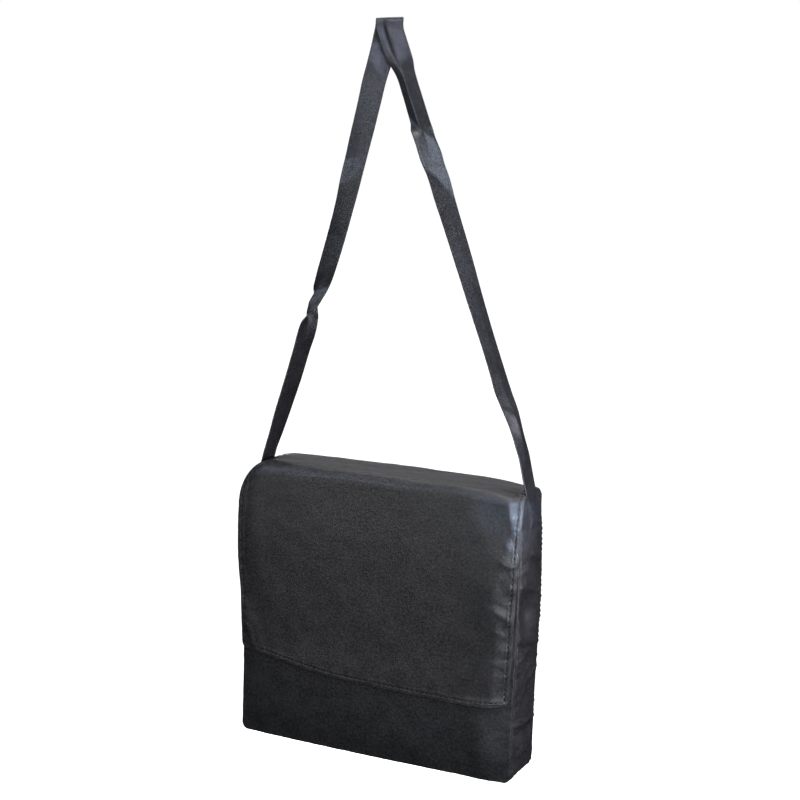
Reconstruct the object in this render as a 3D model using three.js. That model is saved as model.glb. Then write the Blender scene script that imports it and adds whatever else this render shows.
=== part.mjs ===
import * as THREE from 'three';

// A flap-over shoulder bag of non-woven cloth, hanging by its strap.
// Millimetres, +Z up, +X to the right seen from the front, +Y to the back.
// The origin is the inside of the strap's top fold, where the bag hangs.
// The bag itself is drawn with its top at z = 0 and its middle at x = y = 0, then moved below the origin.

// Driving dimensions
const BAG_WIDTH = 360;
const BAG_HEIGHT = 343;
const BAG_DEPTH = 74;
const CLOTH = 1.2;
const SEAM_GAP = 0.3;
const LAY_GAP = 0.6;
const CORNER_RADIUS = 10;
const FRONT_BULGE = 5;
const BACK_BULGE = 3;
const BULGE_POWER = 3.5;
const FLAP_LAP = 18;
const FLAP_BACK_RADIUS = 5;
const FLAP_CROWN = 2.5;
const FLAP_CORNER = 8;
const STRAP_WIDTH = 30;
const STRAP_THICK = 1.6;
const STRAP_LAP = 42;
const STRAP_SEAT_GAP = 0.6;
const SEAT_TOP = -8;
const LEG_LEAN = 0.27;
const PEG_RADIUS = 4.2;
const PEG_TURN = 25;
const HANG_HEIGHT = 530;
const HANG_OFFSET = 17.5;

const HALF_WIDTH = BAG_WIDTH / 2;
const HALF_DEPTH = BAG_DEPTH / 2;
const DEG = Math.PI / 180;

// Half widths of the body by share of the height, from the top down: the strap draws the tops in
const BODY_SIDES = [
  { share: 0.0, left: 171.0, right: 179.0 },
  { share: 0.08, left: 173.5, right: 179.6 },
  { share: 0.2, left: 176.5, right: 181.2 },
  { share: 0.36, left: 179.2, right: 183.4 },
  { share: 0.5, left: 179.9, right: 183.0 },
  { share: 0.7, left: 179.8, right: 181.5 },
  { share: 0.86, left: 180.0, right: 181.2 },
  { share: 1.0, left: 180.8, right: 181.4 },
];

// How full the front and back stand at each share of the height, from the top down
const FULLNESS = [
  { share: 0.0, full: 0.55 },
  { share: 0.3, full: 0.9 },
  { share: 0.6, full: 1.0 },
  { share: 0.85, full: 0.6 },
  { share: 1.0, full: 0.0 },
];

// Top edge of the front panel, hidden below the flap
const FRONT_TOP = [
  { x: -180, z: -24 },
  { x: -100, z: -15 },
  { x: 0, z: -9 },
  { x: 100, z: -8 },
  { x: 180, z: -13 },
];

// Top edge of the back panel
const BACK_TOP = [
  { x: -180, z: -13 },
  { x: -140, z: -5 },
  { x: 0, z: -3 },
  { x: 100, z: -3.5 },
  { x: 180, z: -10 },
];

// Top edge of the gusset on the two sides, from the front to the back
const GUSSET_TOP = [
  { y: -36, left: -18, right: -11.5 },
  { y: -28, left: -11, right: -10.5 },
  { y: -18, left: -8.5, right: -10 },
  { y: 0, left: -8, right: -9.5 },
  { y: 16, left: -8, right: -9 },
  { y: 36, left: -8, right: -9 },
];

// The valley at mid-depth that the strap draws into each side: its depth and the height over which it fades
const STRAP_PULL = {
  left: { depth: 2.5, fade: 60 },
  right: { depth: 1.0, fade: 60 },
};

// The round swell of the gusset across its depth: how far it stands out and where its crest is
const GUSSET_CROWN = [
  { z: -343, high: 3.0, crest: 0 },
  { z: -305, high: 4.5, crest: 0 },
  { z: -255, high: 4.5, crest: 2 },
  { z: -190, high: 5.5, crest: 4 },
  { z: -140, high: 7.0, crest: 4 },
  { z: -100, high: 8.0, crest: 2 },
  { z: -50, high: 8.0, crest: 0 },
  { z: -36, high: 5.4, crest: 0 },
  { z: -22, high: 2.6, crest: 0 },
  { z: -9, high: 0.0, crest: 0 },
];

// Dents of the gusset: side, height of the middle, depth position, inward depth, half sizes and slant
const GUSSET_DENTS = [
  { side: 'right', z: -88, y: 6, depth: 2.5, high: 14, wide: 16, slant: 0.5 },
  { side: 'right', z: -150, y: -8, depth: 5.0, high: 24, wide: 14, slant: 0.2 },
  { side: 'right', z: -205, y: -4, depth: 3.0, high: 9, wide: 20, slant: -0.15 },
  { side: 'right', z: -262, y: 0, depth: 2.5, high: 26, wide: 18, slant: 0.0 },
  { side: 'left', z: -120, y: 4, depth: 4.0, high: 34, wide: 16, slant: -0.3 },
  { side: 'left', z: -225, y: -2, depth: 3.5, high: 30, wide: 18, slant: 0.2 },
];

// Radius of the soft fold where the flap turns down at the front
const FLAP_FOLD = [
  { x: -190, radius: 29 },
  { x: -160, radius: 20 },
  { x: -100, radius: 13 },
  { x: 0, radius: 10 },
  { x: 100, radius: 8 },
  { x: 190, radius: 7 },
];

// The ends of the flap droop: where the droop starts, how far it runs and how deep it is there
const FLAP_DROOP = {
  left: { from: -148, run: 30, drop: 4 },
  right: { from: 100, run: 80, drop: 7 },
};

// Side edges of the flap along the cloth, measured from its back seam
const FLAP_EDGES = [
  { run: 0, left: -170, right: 175 },
  { run: 22, left: -169.5, right: 175.5 },
  { run: 40, left: -168, right: 174.5 },
  { run: 58, left: -165.5, right: 174.5 },
  { run: 83, left: -166.5, right: 176.5 },
  { run: 92, left: -177, right: 181.5 },
  { run: 100, left: -184, right: 185 },
  { run: 115, left: -186.5, right: 186 },
  { run: 135, left: -187.6, right: 185.5 },
  { run: 165, left: -187.6, right: 183 },
  { run: 195, left: -187.6, right: 181 },
  { run: 225, left: -186.2, right: 179.7 },
  { run: 260, left: -183.5, right: 178 },
  { run: 300, left: -181.7, right: 177.5 },
  { run: 350, left: -180.2, right: 177 },
];

// Hem of the flap
const FLAP_HEM = [
  { x: -190, z: -235 },
  { x: -150, z: -237 },
  { x: -100, z: -244 },
  { x: -50, z: -250 },
  { x: 0, z: -252 },
  { x: 60, z: -253 },
  { x: 120, z: -253.5 },
  { x: 150, z: -251 },
  { x: 190, z: -247 },
];

// Soft folds of the flap that stand off the front: middle, height, half sizes and slant
const FLAP_FOLDS = [
  { x: 150, z: -30, high: 3.0, half_x: 26, half_z: 40, slant: 0.1 },
  { x: 160, z: -125, high: 2.5, half_x: 14, half_z: 26, slant: 0.3 },
  { x: 158, z: -165, high: 2.2, half_x: 12, half_z: 16, slant: -0.4 },
  { x: 155, z: -225, high: 3.0, half_x: 24, half_z: 26, slant: 0.0 },
  { x: 60, z: -243, high: 1.6, half_x: 70, half_z: 24, slant: 0.0 },
  { x: -90, z: -236, high: 2.0, half_x: 60, half_z: 26, slant: 0.0 },
  { x: -168, z: -205, high: 2.0, half_x: 12, half_z: 30, slant: -0.4 },
  { x: -172, z: -75, high: 3.0, half_x: 22, half_z: 46, slant: 0.1 },
];

// Sections of the strap on its left and right legs, by how far they hang below the origin.
// x and y place the middle, turn is the heading of the width from +X about +Z,
// crease is the place of a lengthwise crease across the width and fold is its angle.
const LEFT_LEG = [
  { drop: 8, x: -2.4, y: 4.3, turn: 25, crease: 0.5, fold: 0 },
  { drop: 48, x: -12.8, y: 3.5, turn: 3, crease: 0.5, fold: 0 },
  { drop: 70, x: -19.2, y: 1.0, turn: -2, crease: 0.5, fold: 0 },
  { drop: 96, x: -24.8, y: 2.5, turn: -4, crease: 0.5, fold: 0 },
  { drop: 150, x: -38.0, y: 1.5, turn: -8, crease: 0.5, fold: -6 },
  { drop: 180, x: -45.0, y: 0.5, turn: -11, crease: 0.5, fold: -6 },
  { drop: 208, x: -52.2, y: 1.5, turn: -16, crease: 0.5, fold: -8 },
  { drop: 265, x: -68.0, y: 1.0, turn: -18, crease: 0.5, fold: -6 },
  { drop: 300, x: -78.5, y: 0.0, turn: -22, crease: 0.5, fold: -10 },
  { drop: 320, x: -87.0, y: 0.0, turn: -29, crease: 0.5, fold: -34 },
  { drop: 338, x: -93.6, y: 0.0, turn: -66, crease: 0.5, fold: -96 },
  { drop: 354, x: -97.2, y: 0.0, turn: -98, crease: 0.5, fold: -40 },
  { drop: 370, x: -101.6, y: 0.0, turn: -106, crease: 0.5, fold: -8 },
  { drop: 392, x: -107.8, y: 0.0, turn: -103, crease: 0.5, fold: 0 },
  { drop: 430, x: -119.6, y: 0.0, turn: -101, crease: 0.5, fold: 0 },
  { drop: 468, x: -132.0, y: 0.0, turn: -98, crease: 0.5, fold: 4 },
  { drop: 500, x: -142.0, y: 0.0, turn: -93, crease: 0.5, fold: 8 },
];
const RIGHT_LEG = [
  { drop: 8, x: 1.5, y: -4.3, turn: 25, crease: 0.36, fold: 10 },
  { drop: 48, x: 17.2, y: -4.0, turn: 30, crease: 0.36, fold: 54 },
  { drop: 80, x: 30.6, y: -3.0, turn: 36, crease: 0.36, fold: 78 },
  { drop: 115, x: 43.0, y: -2.0, turn: 40, crease: 0.36, fold: 66 },
  { drop: 140, x: 52.0, y: -1.0, turn: 48, crease: 0.4, fold: 32 },
  { drop: 162, x: 60.2, y: -2.0, turn: 53, crease: 0.45, fold: 6 },
  { drop: 178, x: 67.0, y: 0.0, turn: 60, crease: 0.5, fold: 8 },
  { drop: 204, x: 76.8, y: 0.0, turn: 65, crease: 0.5, fold: 12 },
  { drop: 271, x: 102.2, y: 0.0, turn: 70, crease: 0.5, fold: 10 },
  { drop: 318, x: 119.3, y: 0.0, turn: 75, crease: 0.5, fold: 10 },
  { drop: 360, x: 135.2, y: 0.0, turn: 79, crease: 0.5, fold: 10 },
  { drop: 400, x: 150.6, y: 0.0, turn: 78, crease: 0.5, fold: 18 },
  { drop: 420, x: 158.8, y: 0.0, turn: 73, crease: 0.46, fold: 30 },
  { drop: 440, x: 169.0, y: 0.0, turn: 74, crease: 0.44, fold: 42 },
  { drop: 460, x: 177.2, y: 0.0, turn: 84, crease: 0.48, fold: 38 },
  { drop: 494, x: 187.6, y: 0.0, turn: 90, crease: 0.5, fold: 12 },
];

// Mesh steps
const PANEL_COLUMNS = 18;
const FRONT_ROWS = 17;
const BACK_ROWS = 12;
const GUSSET_SIDE_ROWS = 22;
const GUSSET_CORNER_ROWS = 4;
const GUSSET_BASE_ROWS = 10;
const GUSSET_COLUMNS = 10;
const FLAP_COLUMNS = 24;
const FLAP_STEPS = { lap: 2, back: 3, top: 6, fold: 5, front: 18 };
const STRAP_STEP = 8;
const PEG_STEPS = 8;

// A smooth curve through one column of a table
function curveOf(table, key, column) {
  const at = table.map((row) => row[key]);
  const value = table.map((row) => row[column]);
  const last = table.length - 1;
  const slope = table.map((row, i) => {
    const a = Math.max(i - 1, 0);
    const b = Math.min(i + 1, last);
    return (value[b] - value[a]) / (at[b] - at[a]);
  });
  return (where) => {
    const place = Math.min(Math.max(where, at[0]), at[last]);
    let i = 0;
    while (i < last - 1 && place > at[i + 1]) {
      i += 1;
    }
    const span = at[i + 1] - at[i];
    const t = (place - at[i]) / span;
    const start = (1 + 2 * t) * (1 - t) ** 2 * value[i];
    const end = t * t * (3 - 2 * t) * value[i + 1];
    const bend = t * (1 - t) ** 2 * slope[i] - t * t * (1 - t) * slope[i + 1];
    return start + end + bend * span;
  };
}

// One soft hump in two directions
function hump(across, along, halfAcross, halfAlong) {
  return Math.exp(-((across / halfAcross) ** 2) - (along / halfAlong) ** 2);
}

const fullnessAt = curveOf(FULLNESS, 'share', 'full');
const frontTopAt = curveOf(FRONT_TOP, 'x', 'z');
const backTopAt = curveOf(BACK_TOP, 'x', 'z');
const foldRadiusAt = curveOf(FLAP_FOLD, 'x', 'radius');
const hemAt = curveOf(FLAP_HEM, 'x', 'z');
const flapLeftAt = curveOf(FLAP_EDGES, 'run', 'left');
const flapRightAt = curveOf(FLAP_EDGES, 'run', 'right');
const bodySideAt = {
  left: curveOf(BODY_SIDES, 'share', 'left'),
  right: curveOf(BODY_SIDES, 'share', 'right'),
};
const gussetTopAt = {
  left: curveOf(GUSSET_TOP, 'y', 'left'),
  right: curveOf(GUSSET_TOP, 'y', 'right'),
};

const crownHeightAt = curveOf(GUSSET_CROWN, 'z', 'high');
const crownPlaceAt = curveOf(GUSSET_CROWN, 'z', 'crest');

// Half width of the body at one height on one side
function halfWidthAt(side, z) {
  return bodySideAt[side](-z / BAG_HEIGHT);
}

// Share of a panel's bulge at one place
function bulgeAt(x, z) {
  const half = halfWidthAt(x < 0 ? 'left' : 'right', z);
  const across = 1 - (Math.abs(x) / half) ** BULGE_POWER;
  return across * fullnessAt(-z / BAG_HEIGHT);
}

// Outer faces of the front and back panels
function frontFace(x, z) {
  return -HALF_DEPTH - FRONT_BULGE * bulgeAt(x, z);
}

function backFace(x, z) {
  return HALF_DEPTH + BACK_BULGE * bulgeAt(x, z);
}

// Half width of a panel at one height, with round lower corners
function panelHalfWidth(side, z) {
  const rise = z + BAG_HEIGHT;
  if (rise >= CORNER_RADIUS) {
    return halfWidthAt(side, z);
  }
  const below = CORNER_RADIUS - rise;
  const inset = CORNER_RADIUS - Math.sqrt(Math.max(CORNER_RADIUS ** 2 - below ** 2, 0));
  return halfWidthAt(side, CORNER_RADIUS - BAG_HEIGHT) - inset;
}

// A closed wall between two grids of points
function wallMesh(name, colour, outer, inner) {
  const rows = outer.length;
  const columns = outer[0].length;
  const positions = [];
  for (const grid of [outer, inner]) {
    for (const line of grid) {
      for (const point of line) {
        positions.push(point.x, point.y, point.z);
      }
    }
  }
  const id = (face, row, column) => (face * rows + row) * columns + column;
  const indices = [];
  const quad = (a, b, c, d) => indices.push(a, b, c, a, c, d);
  for (let r = 0; r < rows - 1; r += 1) {
    for (let c = 0; c < columns - 1; c += 1) {
      quad(id(0, r, c), id(0, r, c + 1), id(0, r + 1, c + 1), id(0, r + 1, c));
      quad(id(1, r, c), id(1, r + 1, c), id(1, r + 1, c + 1), id(1, r, c + 1));
    }
    quad(id(0, r, 0), id(0, r + 1, 0), id(1, r + 1, 0), id(1, r, 0));
    quad(id(0, r + 1, columns - 1), id(0, r, columns - 1), id(1, r, columns - 1), id(1, r + 1, columns - 1));
  }
  for (let c = 0; c < columns - 1; c += 1) {
    quad(id(0, 0, c + 1), id(0, 0, c), id(1, 0, c), id(1, 0, c + 1));
    quad(id(0, rows - 1, c), id(0, rows - 1, c + 1), id(1, rows - 1, c + 1), id(1, rows - 1, c));
  }
  return meshOf(name, colour, positions, indices);
}

// Six times the signed volume of a closed set of triangles
function signedVolume(positions, indices) {
  const corner = (i) => new THREE.Vector3(positions[3 * i], positions[3 * i + 1], positions[3 * i + 2]);
  let volume = 0;
  for (let i = 0; i < indices.length; i += 3) {
    const a = corner(indices[i]);
    const b = corner(indices[i + 1]);
    const c = corner(indices[i + 2]);
    volume += a.dot(b.cross(c));
  }
  return volume;
}

function meshOf(name, colour, positions, indices) {
  if (signedVolume(positions, indices) < 0) {
    for (let i = 0; i < indices.length; i += 3) {
      [indices[i + 1], indices[i + 2]] = [indices[i + 2], indices[i + 1]];
    }
  }
  const geometry = new THREE.BufferGeometry();
  geometry.setAttribute('position', new THREE.Float32BufferAttribute(positions, 3));
  geometry.setIndex(indices);
  geometry.computeVertexNormals();
  const material = new THREE.MeshStandardMaterial({ color: colour, roughness: 0.7 });
  const mesh = new THREE.Mesh(geometry, material);
  mesh.name = name;
  return mesh;
}

// A flat wall of the body: the front or the back panel
function panel(name, colour, rows, face, topAt, inward) {
  const outer = [];
  const inner = [];
  for (let r = 0; r <= rows; r += 1) {
    const line = [];
    const inside = [];
    for (let c = 0; c <= PANEL_COLUMNS; c += 1) {
      const across = (2 * c) / PANEL_COLUMNS - 1;
      const top = topAt(across * HALF_WIDTH);
      const side = across < 0 ? 'left' : 'right';
      const down = 1 - (1 - r / rows) ** 1.25;
      const z = top + (-BAG_HEIGHT - top) * down;
      const x = across * panelHalfWidth(side, z);
      const y = face(x, z);
      line.push(new THREE.Vector3(x, y, z));
      inside.push(new THREE.Vector3(x, y + inward * CLOTH, z));
    }
    outer.push(line);
    inner.push(inside);
  }
  return wallMesh(name, colour, outer, inner);
}

// The valley at mid-depth that the strap draws into the gusset
function valley(side, y, z) {
  const pull = STRAP_PULL[side];
  const across = 1 - Math.abs(y) / HALF_DEPTH;
  const below = gussetTopAt[side](0) - z;
  return pull.depth * across * Math.exp(-Math.max(below, 0) / pull.fade);
}

// How far the gusset's swell stands out at one place
function swell(y, z) {
  const crest = crownPlaceAt(z);
  const share = (y - crest) / (y < crest ? HALF_DEPTH + crest : HALF_DEPTH - crest);
  return crownHeightAt(z) * Math.max(1 - share ** 2, 0);
}

function gussetInset(side, y, z) {
  const edge = 1 - (y / HALF_DEPTH) ** 4;
  let inset = valley(side, y, z) - swell(y, z);
  for (const dent of GUSSET_DENTS) {
    if (dent.side === side) {
      const rise = z - dent.z - dent.slant * (y - dent.y);
      inset += dent.depth * edge * hump(y - dent.y, rise, dent.wide, dent.high);
    }
  }
  return inset;
}

// The strip that makes the left side, the bottom and the right side
function gusset() {
  const stations = [];
  const straight = BAG_HEIGHT - CORNER_RADIUS;
  for (let i = 0; i < GUSSET_SIDE_ROWS; i += 1) {
    stations.push({ side: 'left', share: i / GUSSET_SIDE_ROWS });
  }
  for (let i = 0; i < GUSSET_CORNER_ROWS; i += 1) {
    stations.push({ corner: -1, angle: (i / GUSSET_CORNER_ROWS) * 90 });
  }
  for (let i = 0; i <= GUSSET_BASE_ROWS; i += 1) {
    stations.push({ base: (2 * i) / GUSSET_BASE_ROWS - 1 });
  }
  for (let i = GUSSET_CORNER_ROWS - 1; i >= 0; i -= 1) {
    stations.push({ corner: 1, angle: (i / GUSSET_CORNER_ROWS) * 90 });
  }
  for (let i = GUSSET_SIDE_ROWS - 1; i >= 0; i -= 1) {
    stations.push({ side: 'right', share: i / GUSSET_SIDE_ROWS });
  }
  const halfStrip = HALF_DEPTH - CLOTH - SEAM_GAP;
  const cornerHalf = { '-1': halfWidthAt('left', -straight), 1: halfWidthAt('right', -straight) };
  const outer = [];
  const inner = [];
  for (const station of stations) {
    const line = [];
    const inside = [];
    for (let c = 0; c <= GUSSET_COLUMNS; c += 1) {
      const y = halfStrip * ((2 * c) / GUSSET_COLUMNS - 1);
      const place = new THREE.Vector3();
      const outward = new THREE.Vector3();
      if (station.side) {
        const sign = station.side === 'left' ? -1 : 1;
        const top = gussetTopAt[station.side](y);
        const z = top + (-straight - top) * station.share;
        place.set(sign * (halfWidthAt(station.side, z) - gussetInset(station.side, y, z)), y, z);
        outward.set(sign, 0, 0);
      } else if (station.corner) {
        const angle = station.angle * DEG;
        outward.set(station.corner * Math.cos(angle), 0, -Math.sin(angle));
        place.set(station.corner * (cornerHalf[station.corner] - CORNER_RADIUS), y, -straight);
        place.addScaledVector(outward, CORNER_RADIUS);
      } else {
        place.set(station.base * (cornerHalf[Math.sign(station.base) || 1] - CORNER_RADIUS), y, -BAG_HEIGHT);
        outward.set(0, 0, -1);
      }
      line.push(place);
      inside.push(place.clone().addScaledVector(outward, -CLOTH));
    }
    outer.push(line);
    inner.push(inside);
  }
  return wallMesh('gusset', 0x2b2b2e, outer, inner);
}

// Height of the flap's top face at one place across the bag
function flapTop(x) {
  let z = FLAP_CROWN * (1 - (x / HALF_WIDTH) ** 2);
  const left = FLAP_DROOP.left;
  const right = FLAP_DROOP.right;
  if (x < left.from) {
    z -= left.drop * ((left.from - x) / left.run) ** 2;
  }
  if (x > right.from) {
    z -= right.drop * ((x - right.from) / right.run) ** 2;
  }
  return z;
}

// How far the flap stands off the front panel
function flapStandOff(x, z) {
  let off = LAY_GAP;
  for (const fold of FLAP_FOLDS) {
    const across = x - fold.x - fold.slant * (z - fold.z);
    off += fold.high * hump(across, z - fold.z, fold.half_x, fold.half_z);
  }
  return off;
}

function flapFront(x, z) {
  return frontFace(x, z) - CLOTH - flapStandOff(x, z);
}

// The rows of the flap along the cloth: its zone, the share of that zone and the nominal run from the seam
function flapStations() {
  const zones = [
    { zone: 'lap', from: 0, to: 14 },
    { zone: 'back', from: 14, to: 22 },
    { zone: 'top', from: 22, to: 84 },
    { zone: 'fold', from: 84, to: 100 },
    { zone: 'front', from: 100, to: 345 },
  ];
  const stations = [];
  for (const { zone, from, to } of zones) {
    const steps = FLAP_STEPS[zone];
    for (let i = 0; i < steps; i += 1) {
      const share = i / steps;
      stations.push({ zone, share, run: from + (to - from) * share });
    }
  }
  stations.push({ zone: 'front', share: 1, run: 345 });
  return stations;
}

function flapPoint(station, across) {
  const left = flapLeftAt(station.run);
  const right = flapRightAt(station.run);
  const x = left + (right - left) * across;
  const top = flapTop(x);
  const behind = backFace(x, -FLAP_LAP) + LAY_GAP + CLOTH;
  const radius = foldRadiusAt(x);
  const turnDown = top - radius;
  const ahead = flapFront(x, turnDown);
  const turn = station.share * 90 * DEG;
  if (station.zone === 'lap') {
    const upper = top - FLAP_BACK_RADIUS;
    return new THREE.Vector3(x, behind, -FLAP_LAP + (upper + FLAP_LAP) * station.share);
  }
  if (station.zone === 'back') {
    const y = behind - FLAP_BACK_RADIUS * (1 - Math.cos(turn));
    return new THREE.Vector3(x, y, top - FLAP_BACK_RADIUS * (1 - Math.sin(turn)));
  }
  if (station.zone === 'top') {
    const from = behind - FLAP_BACK_RADIUS;
    const to = ahead + radius;
    return new THREE.Vector3(x, from + (to - from) * station.share, top);
  }
  if (station.zone === 'fold') {
    const y = ahead + radius * (1 - Math.sin(turn));
    return new THREE.Vector3(x, y, top - radius * (1 - Math.cos(turn)));
  }
  const edge = Math.max(Math.min(x - left, right - x), 0);
  const short = Math.max(FLAP_CORNER - edge, 0);
  const round = FLAP_CORNER - Math.sqrt(FLAP_CORNER ** 2 - short ** 2);
  const z = turnDown + (hemAt(x) + round - turnDown) * station.share;
  return new THREE.Vector3(x, flapFront(x, z), z);
}

// The inner face of a sheet, one cloth thickness below its outer face
function sheetInside(outer, thickness) {
  const last = outer.length - 1;
  return outer.map((line, r) =>
    line.map((point, c) => {
      const up = outer[Math.max(r - 1, 0)][c];
      const down = outer[Math.min(r + 1, last)][c];
      const left = line[Math.max(c - 1, 0)];
      const right = line[Math.min(c + 1, line.length - 1)];
      const along = new THREE.Vector3().subVectors(down, up);
      const across = new THREE.Vector3().subVectors(right, left);
      const inward = across.cross(along).normalize();
      return point.clone().addScaledVector(inward, thickness);
    }),
  );
}

function flap() {
  const outer = flapStations().map((station) => {
    const line = [];
    for (let c = 0; c <= FLAP_COLUMNS; c += 1) {
      const even = c / FLAP_COLUMNS;
      const eased = 0.5 - 0.5 * Math.cos(Math.PI * even);
      line.push(flapPoint(station, 0.6 * even + 0.4 * eased));
    }
    return line;
  });
  return wallMesh('flap', 0x333336, outer, sheetInside(outer, CLOTH));
}

// One cross-section of the strap, as points around it
function strapSection(middle, width, face, crease, fold) {
  const half = (fold / 2) * DEG;
  const near = STRAP_WIDTH * crease;
  const far = STRAP_WIDTH * (1 - crease);
  const shift = (near - far) * 0.5 * Math.cos(half);
  const lift = STRAP_WIDTH * 0.25 * Math.sin(half);
  const place = (across, up) =>
    middle.clone().addScaledVector(width, across).addScaledVector(face, up);
  const halfThick = STRAP_THICK / 2;
  const offX = halfThick * Math.sin(half);
  const offY = halfThick * Math.cos(half);
  const ridge = halfThick / Math.cos(half);
  const leftX = shift - near * Math.cos(half);
  const leftY = lift - near * Math.sin(half);
  const rightX = shift + far * Math.cos(half);
  const rightY = lift - far * Math.sin(half);
  return [
    place(leftX - offX, leftY + offY),
    place(shift, lift + ridge),
    place(rightX + offX, rightY + offY),
    place(rightX - offX, rightY - offY),
    place(shift, lift - ridge),
    place(leftX + offX, leftY - offY),
  ];
}

// The sections of one leg, from its top down to where it is free of the bag
function legSections(table, side) {
  const columns = {};
  for (const name of ['x', 'y', 'turn', 'crease', 'fold']) {
    columns[name] = curveOf(table, 'drop', name);
  }
  const from = table[0].drop;
  const to = table[table.length - 1].drop;
  const count = Math.round((to - from) / STRAP_STEP);
  const sections = [];
  for (let i = 0; i <= count; i += 1) {
    const drop = from + ((to - from) * i) / count;
    const turn = columns.turn(drop) * DEG;
    const middle = new THREE.Vector3(columns.x(drop) - HANG_OFFSET, columns.y(drop), HANG_HEIGHT - drop);
    const width = new THREE.Vector3(Math.cos(turn), Math.sin(turn), 0);
    const face = new THREE.Vector3(-side * -Math.sin(turn), -side * Math.cos(turn), 0);
    sections.push(strapSection(middle, width, face, columns.crease(drop), columns.fold(drop)));
  }
  return sections;
}

// The end of a leg, seated on the gusset in the valley that the strap draws into it
function seatSections(side) {
  const name = side < 0 ? 'left' : 'right';
  const sections = [];
  const heights = [14, 4, -6, -14, -22, -32, -STRAP_LAP];
  for (const z of heights) {
    const held = Math.min(z, SEAT_TOP);
    const deep = valley(name, 0, z) - swell(0, held);
    const rise = deep - valley(name, STRAP_WIDTH / 2, z) + swell(STRAP_WIDTH / 2, held);
    const fold = (2 * Math.asin(rise / (STRAP_WIDTH / 2))) / DEG;
    const lean = Math.max(z + 8, 0) * LEG_LEAN;
    const seat = halfWidthAt(name, held) - deep + STRAP_SEAT_GAP + STRAP_THICK / 2 - lean;
    const lift = STRAP_WIDTH * 0.25 * Math.sin((fold / 2) * DEG);
    const middle = new THREE.Vector3(side * (seat + lift), 0, z);
    const width = new THREE.Vector3(0, side, 0);
    const face = new THREE.Vector3(1, 0, 0);
    sections.push(strapSection(middle, width, face, 0.5, -side * fold));
  }
  return sections;
}

// The turn over the hanging point
function pegSections() {
  const turn = PEG_TURN * DEG;
  const width = new THREE.Vector3(Math.cos(turn), Math.sin(turn), 0);
  const back = new THREE.Vector3(-Math.sin(turn), Math.cos(turn), 0);
  const up = new THREE.Vector3(0, 0, 1);
  const radius = PEG_RADIUS + STRAP_THICK / 2;
  const centre = new THREE.Vector3(-HANG_OFFSET, 0, HANG_HEIGHT - PEG_RADIUS);
  const sections = [];
  for (let i = 0; i <= PEG_STEPS; i += 1) {
    const angle = (Math.PI * i) / PEG_STEPS;
    const face = back.clone().multiplyScalar(Math.cos(angle)).addScaledVector(up, Math.sin(angle));
    const middle = centre.clone().addScaledVector(face, radius);
    sections.push(strapSection(middle, width, face, 0.5, 0));
  }
  return sections;
}

function strap() {
  const left = [...legSections(LEFT_LEG, -1), ...seatSections(-1)].reverse();
  const right = [...legSections(RIGHT_LEG, 1), ...seatSections(1)];
  const sections = [...left, ...pegSections(), ...right];
  const around = sections[0].length;
  const positions = sections.flat().flatMap((point) => [point.x, point.y, point.z]);
  const indices = [];
  const quad = (a, b, c, d) => indices.push(a, b, c, a, c, d);
  for (let s = 0; s < sections.length - 1; s += 1) {
    for (let k = 0; k < around; k += 1) {
      const next = (k + 1) % around;
      const here = s * around;
      const there = here + around;
      quad(here + k, here + next, there + next, there + k);
    }
  }
  for (const [base, turned] of [[0, 1], [(sections.length - 1) * around, 0]]) {
    const [a, b, c, d, e, f] = [0, 1, 2, 3, 4, 5].map((k) => base + k);
    if (turned) {
      quad(a, f, e, b);
      quad(b, e, d, c);
    } else {
      quad(a, b, e, f);
      quad(b, c, d, e);
    }
  }
  return meshOf('strap', 0x3a3a40, positions, indices);
}

const bag = new THREE.Group();
bag.name = 'flap_over_shoulder_bag';
const pieces = [
  panel('front_panel', 0x262629, FRONT_ROWS, frontFace, frontTopAt, 1),
  panel('back_panel', 0x242427, BACK_ROWS, backFace, backTopAt, -1),
  gusset(),
  flap(),
  strap(),
];
for (const piece of pieces) {
  piece.geometry.translate(HANG_OFFSET, 0, -HANG_HEIGHT);
  bag.add(piece);
}

export default bag;
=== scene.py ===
from math import cos, pi, radians, sin

import bpy
import numpy as np
from mathutils import Matrix, Vector


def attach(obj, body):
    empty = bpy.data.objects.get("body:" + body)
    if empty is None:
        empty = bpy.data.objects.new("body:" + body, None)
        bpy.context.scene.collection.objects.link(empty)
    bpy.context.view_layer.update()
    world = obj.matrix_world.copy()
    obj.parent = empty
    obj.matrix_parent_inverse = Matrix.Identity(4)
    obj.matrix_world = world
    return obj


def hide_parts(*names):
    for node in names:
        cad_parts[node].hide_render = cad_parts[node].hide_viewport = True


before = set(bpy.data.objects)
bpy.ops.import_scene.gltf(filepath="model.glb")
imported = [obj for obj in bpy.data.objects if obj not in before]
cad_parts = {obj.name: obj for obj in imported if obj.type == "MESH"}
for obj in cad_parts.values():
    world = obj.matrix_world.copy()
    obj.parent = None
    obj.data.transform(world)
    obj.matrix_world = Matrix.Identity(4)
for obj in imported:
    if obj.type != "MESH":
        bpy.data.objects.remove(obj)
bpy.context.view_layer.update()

# A flap-over shoulder bag of non-woven cloth, hanging by its strap.
# Shapes are drawn in millimetres with the bag's top at z = 0 and its middle at x = y = 0,
# then moved below the hanging point and turned into metres.
MM = 0.001
HANG_OFFSET = 17.5
HANG_HEIGHT = 530.0
TO_FRAME = np.array([HANG_OFFSET, 0.0, -HANG_HEIGHT])

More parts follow.
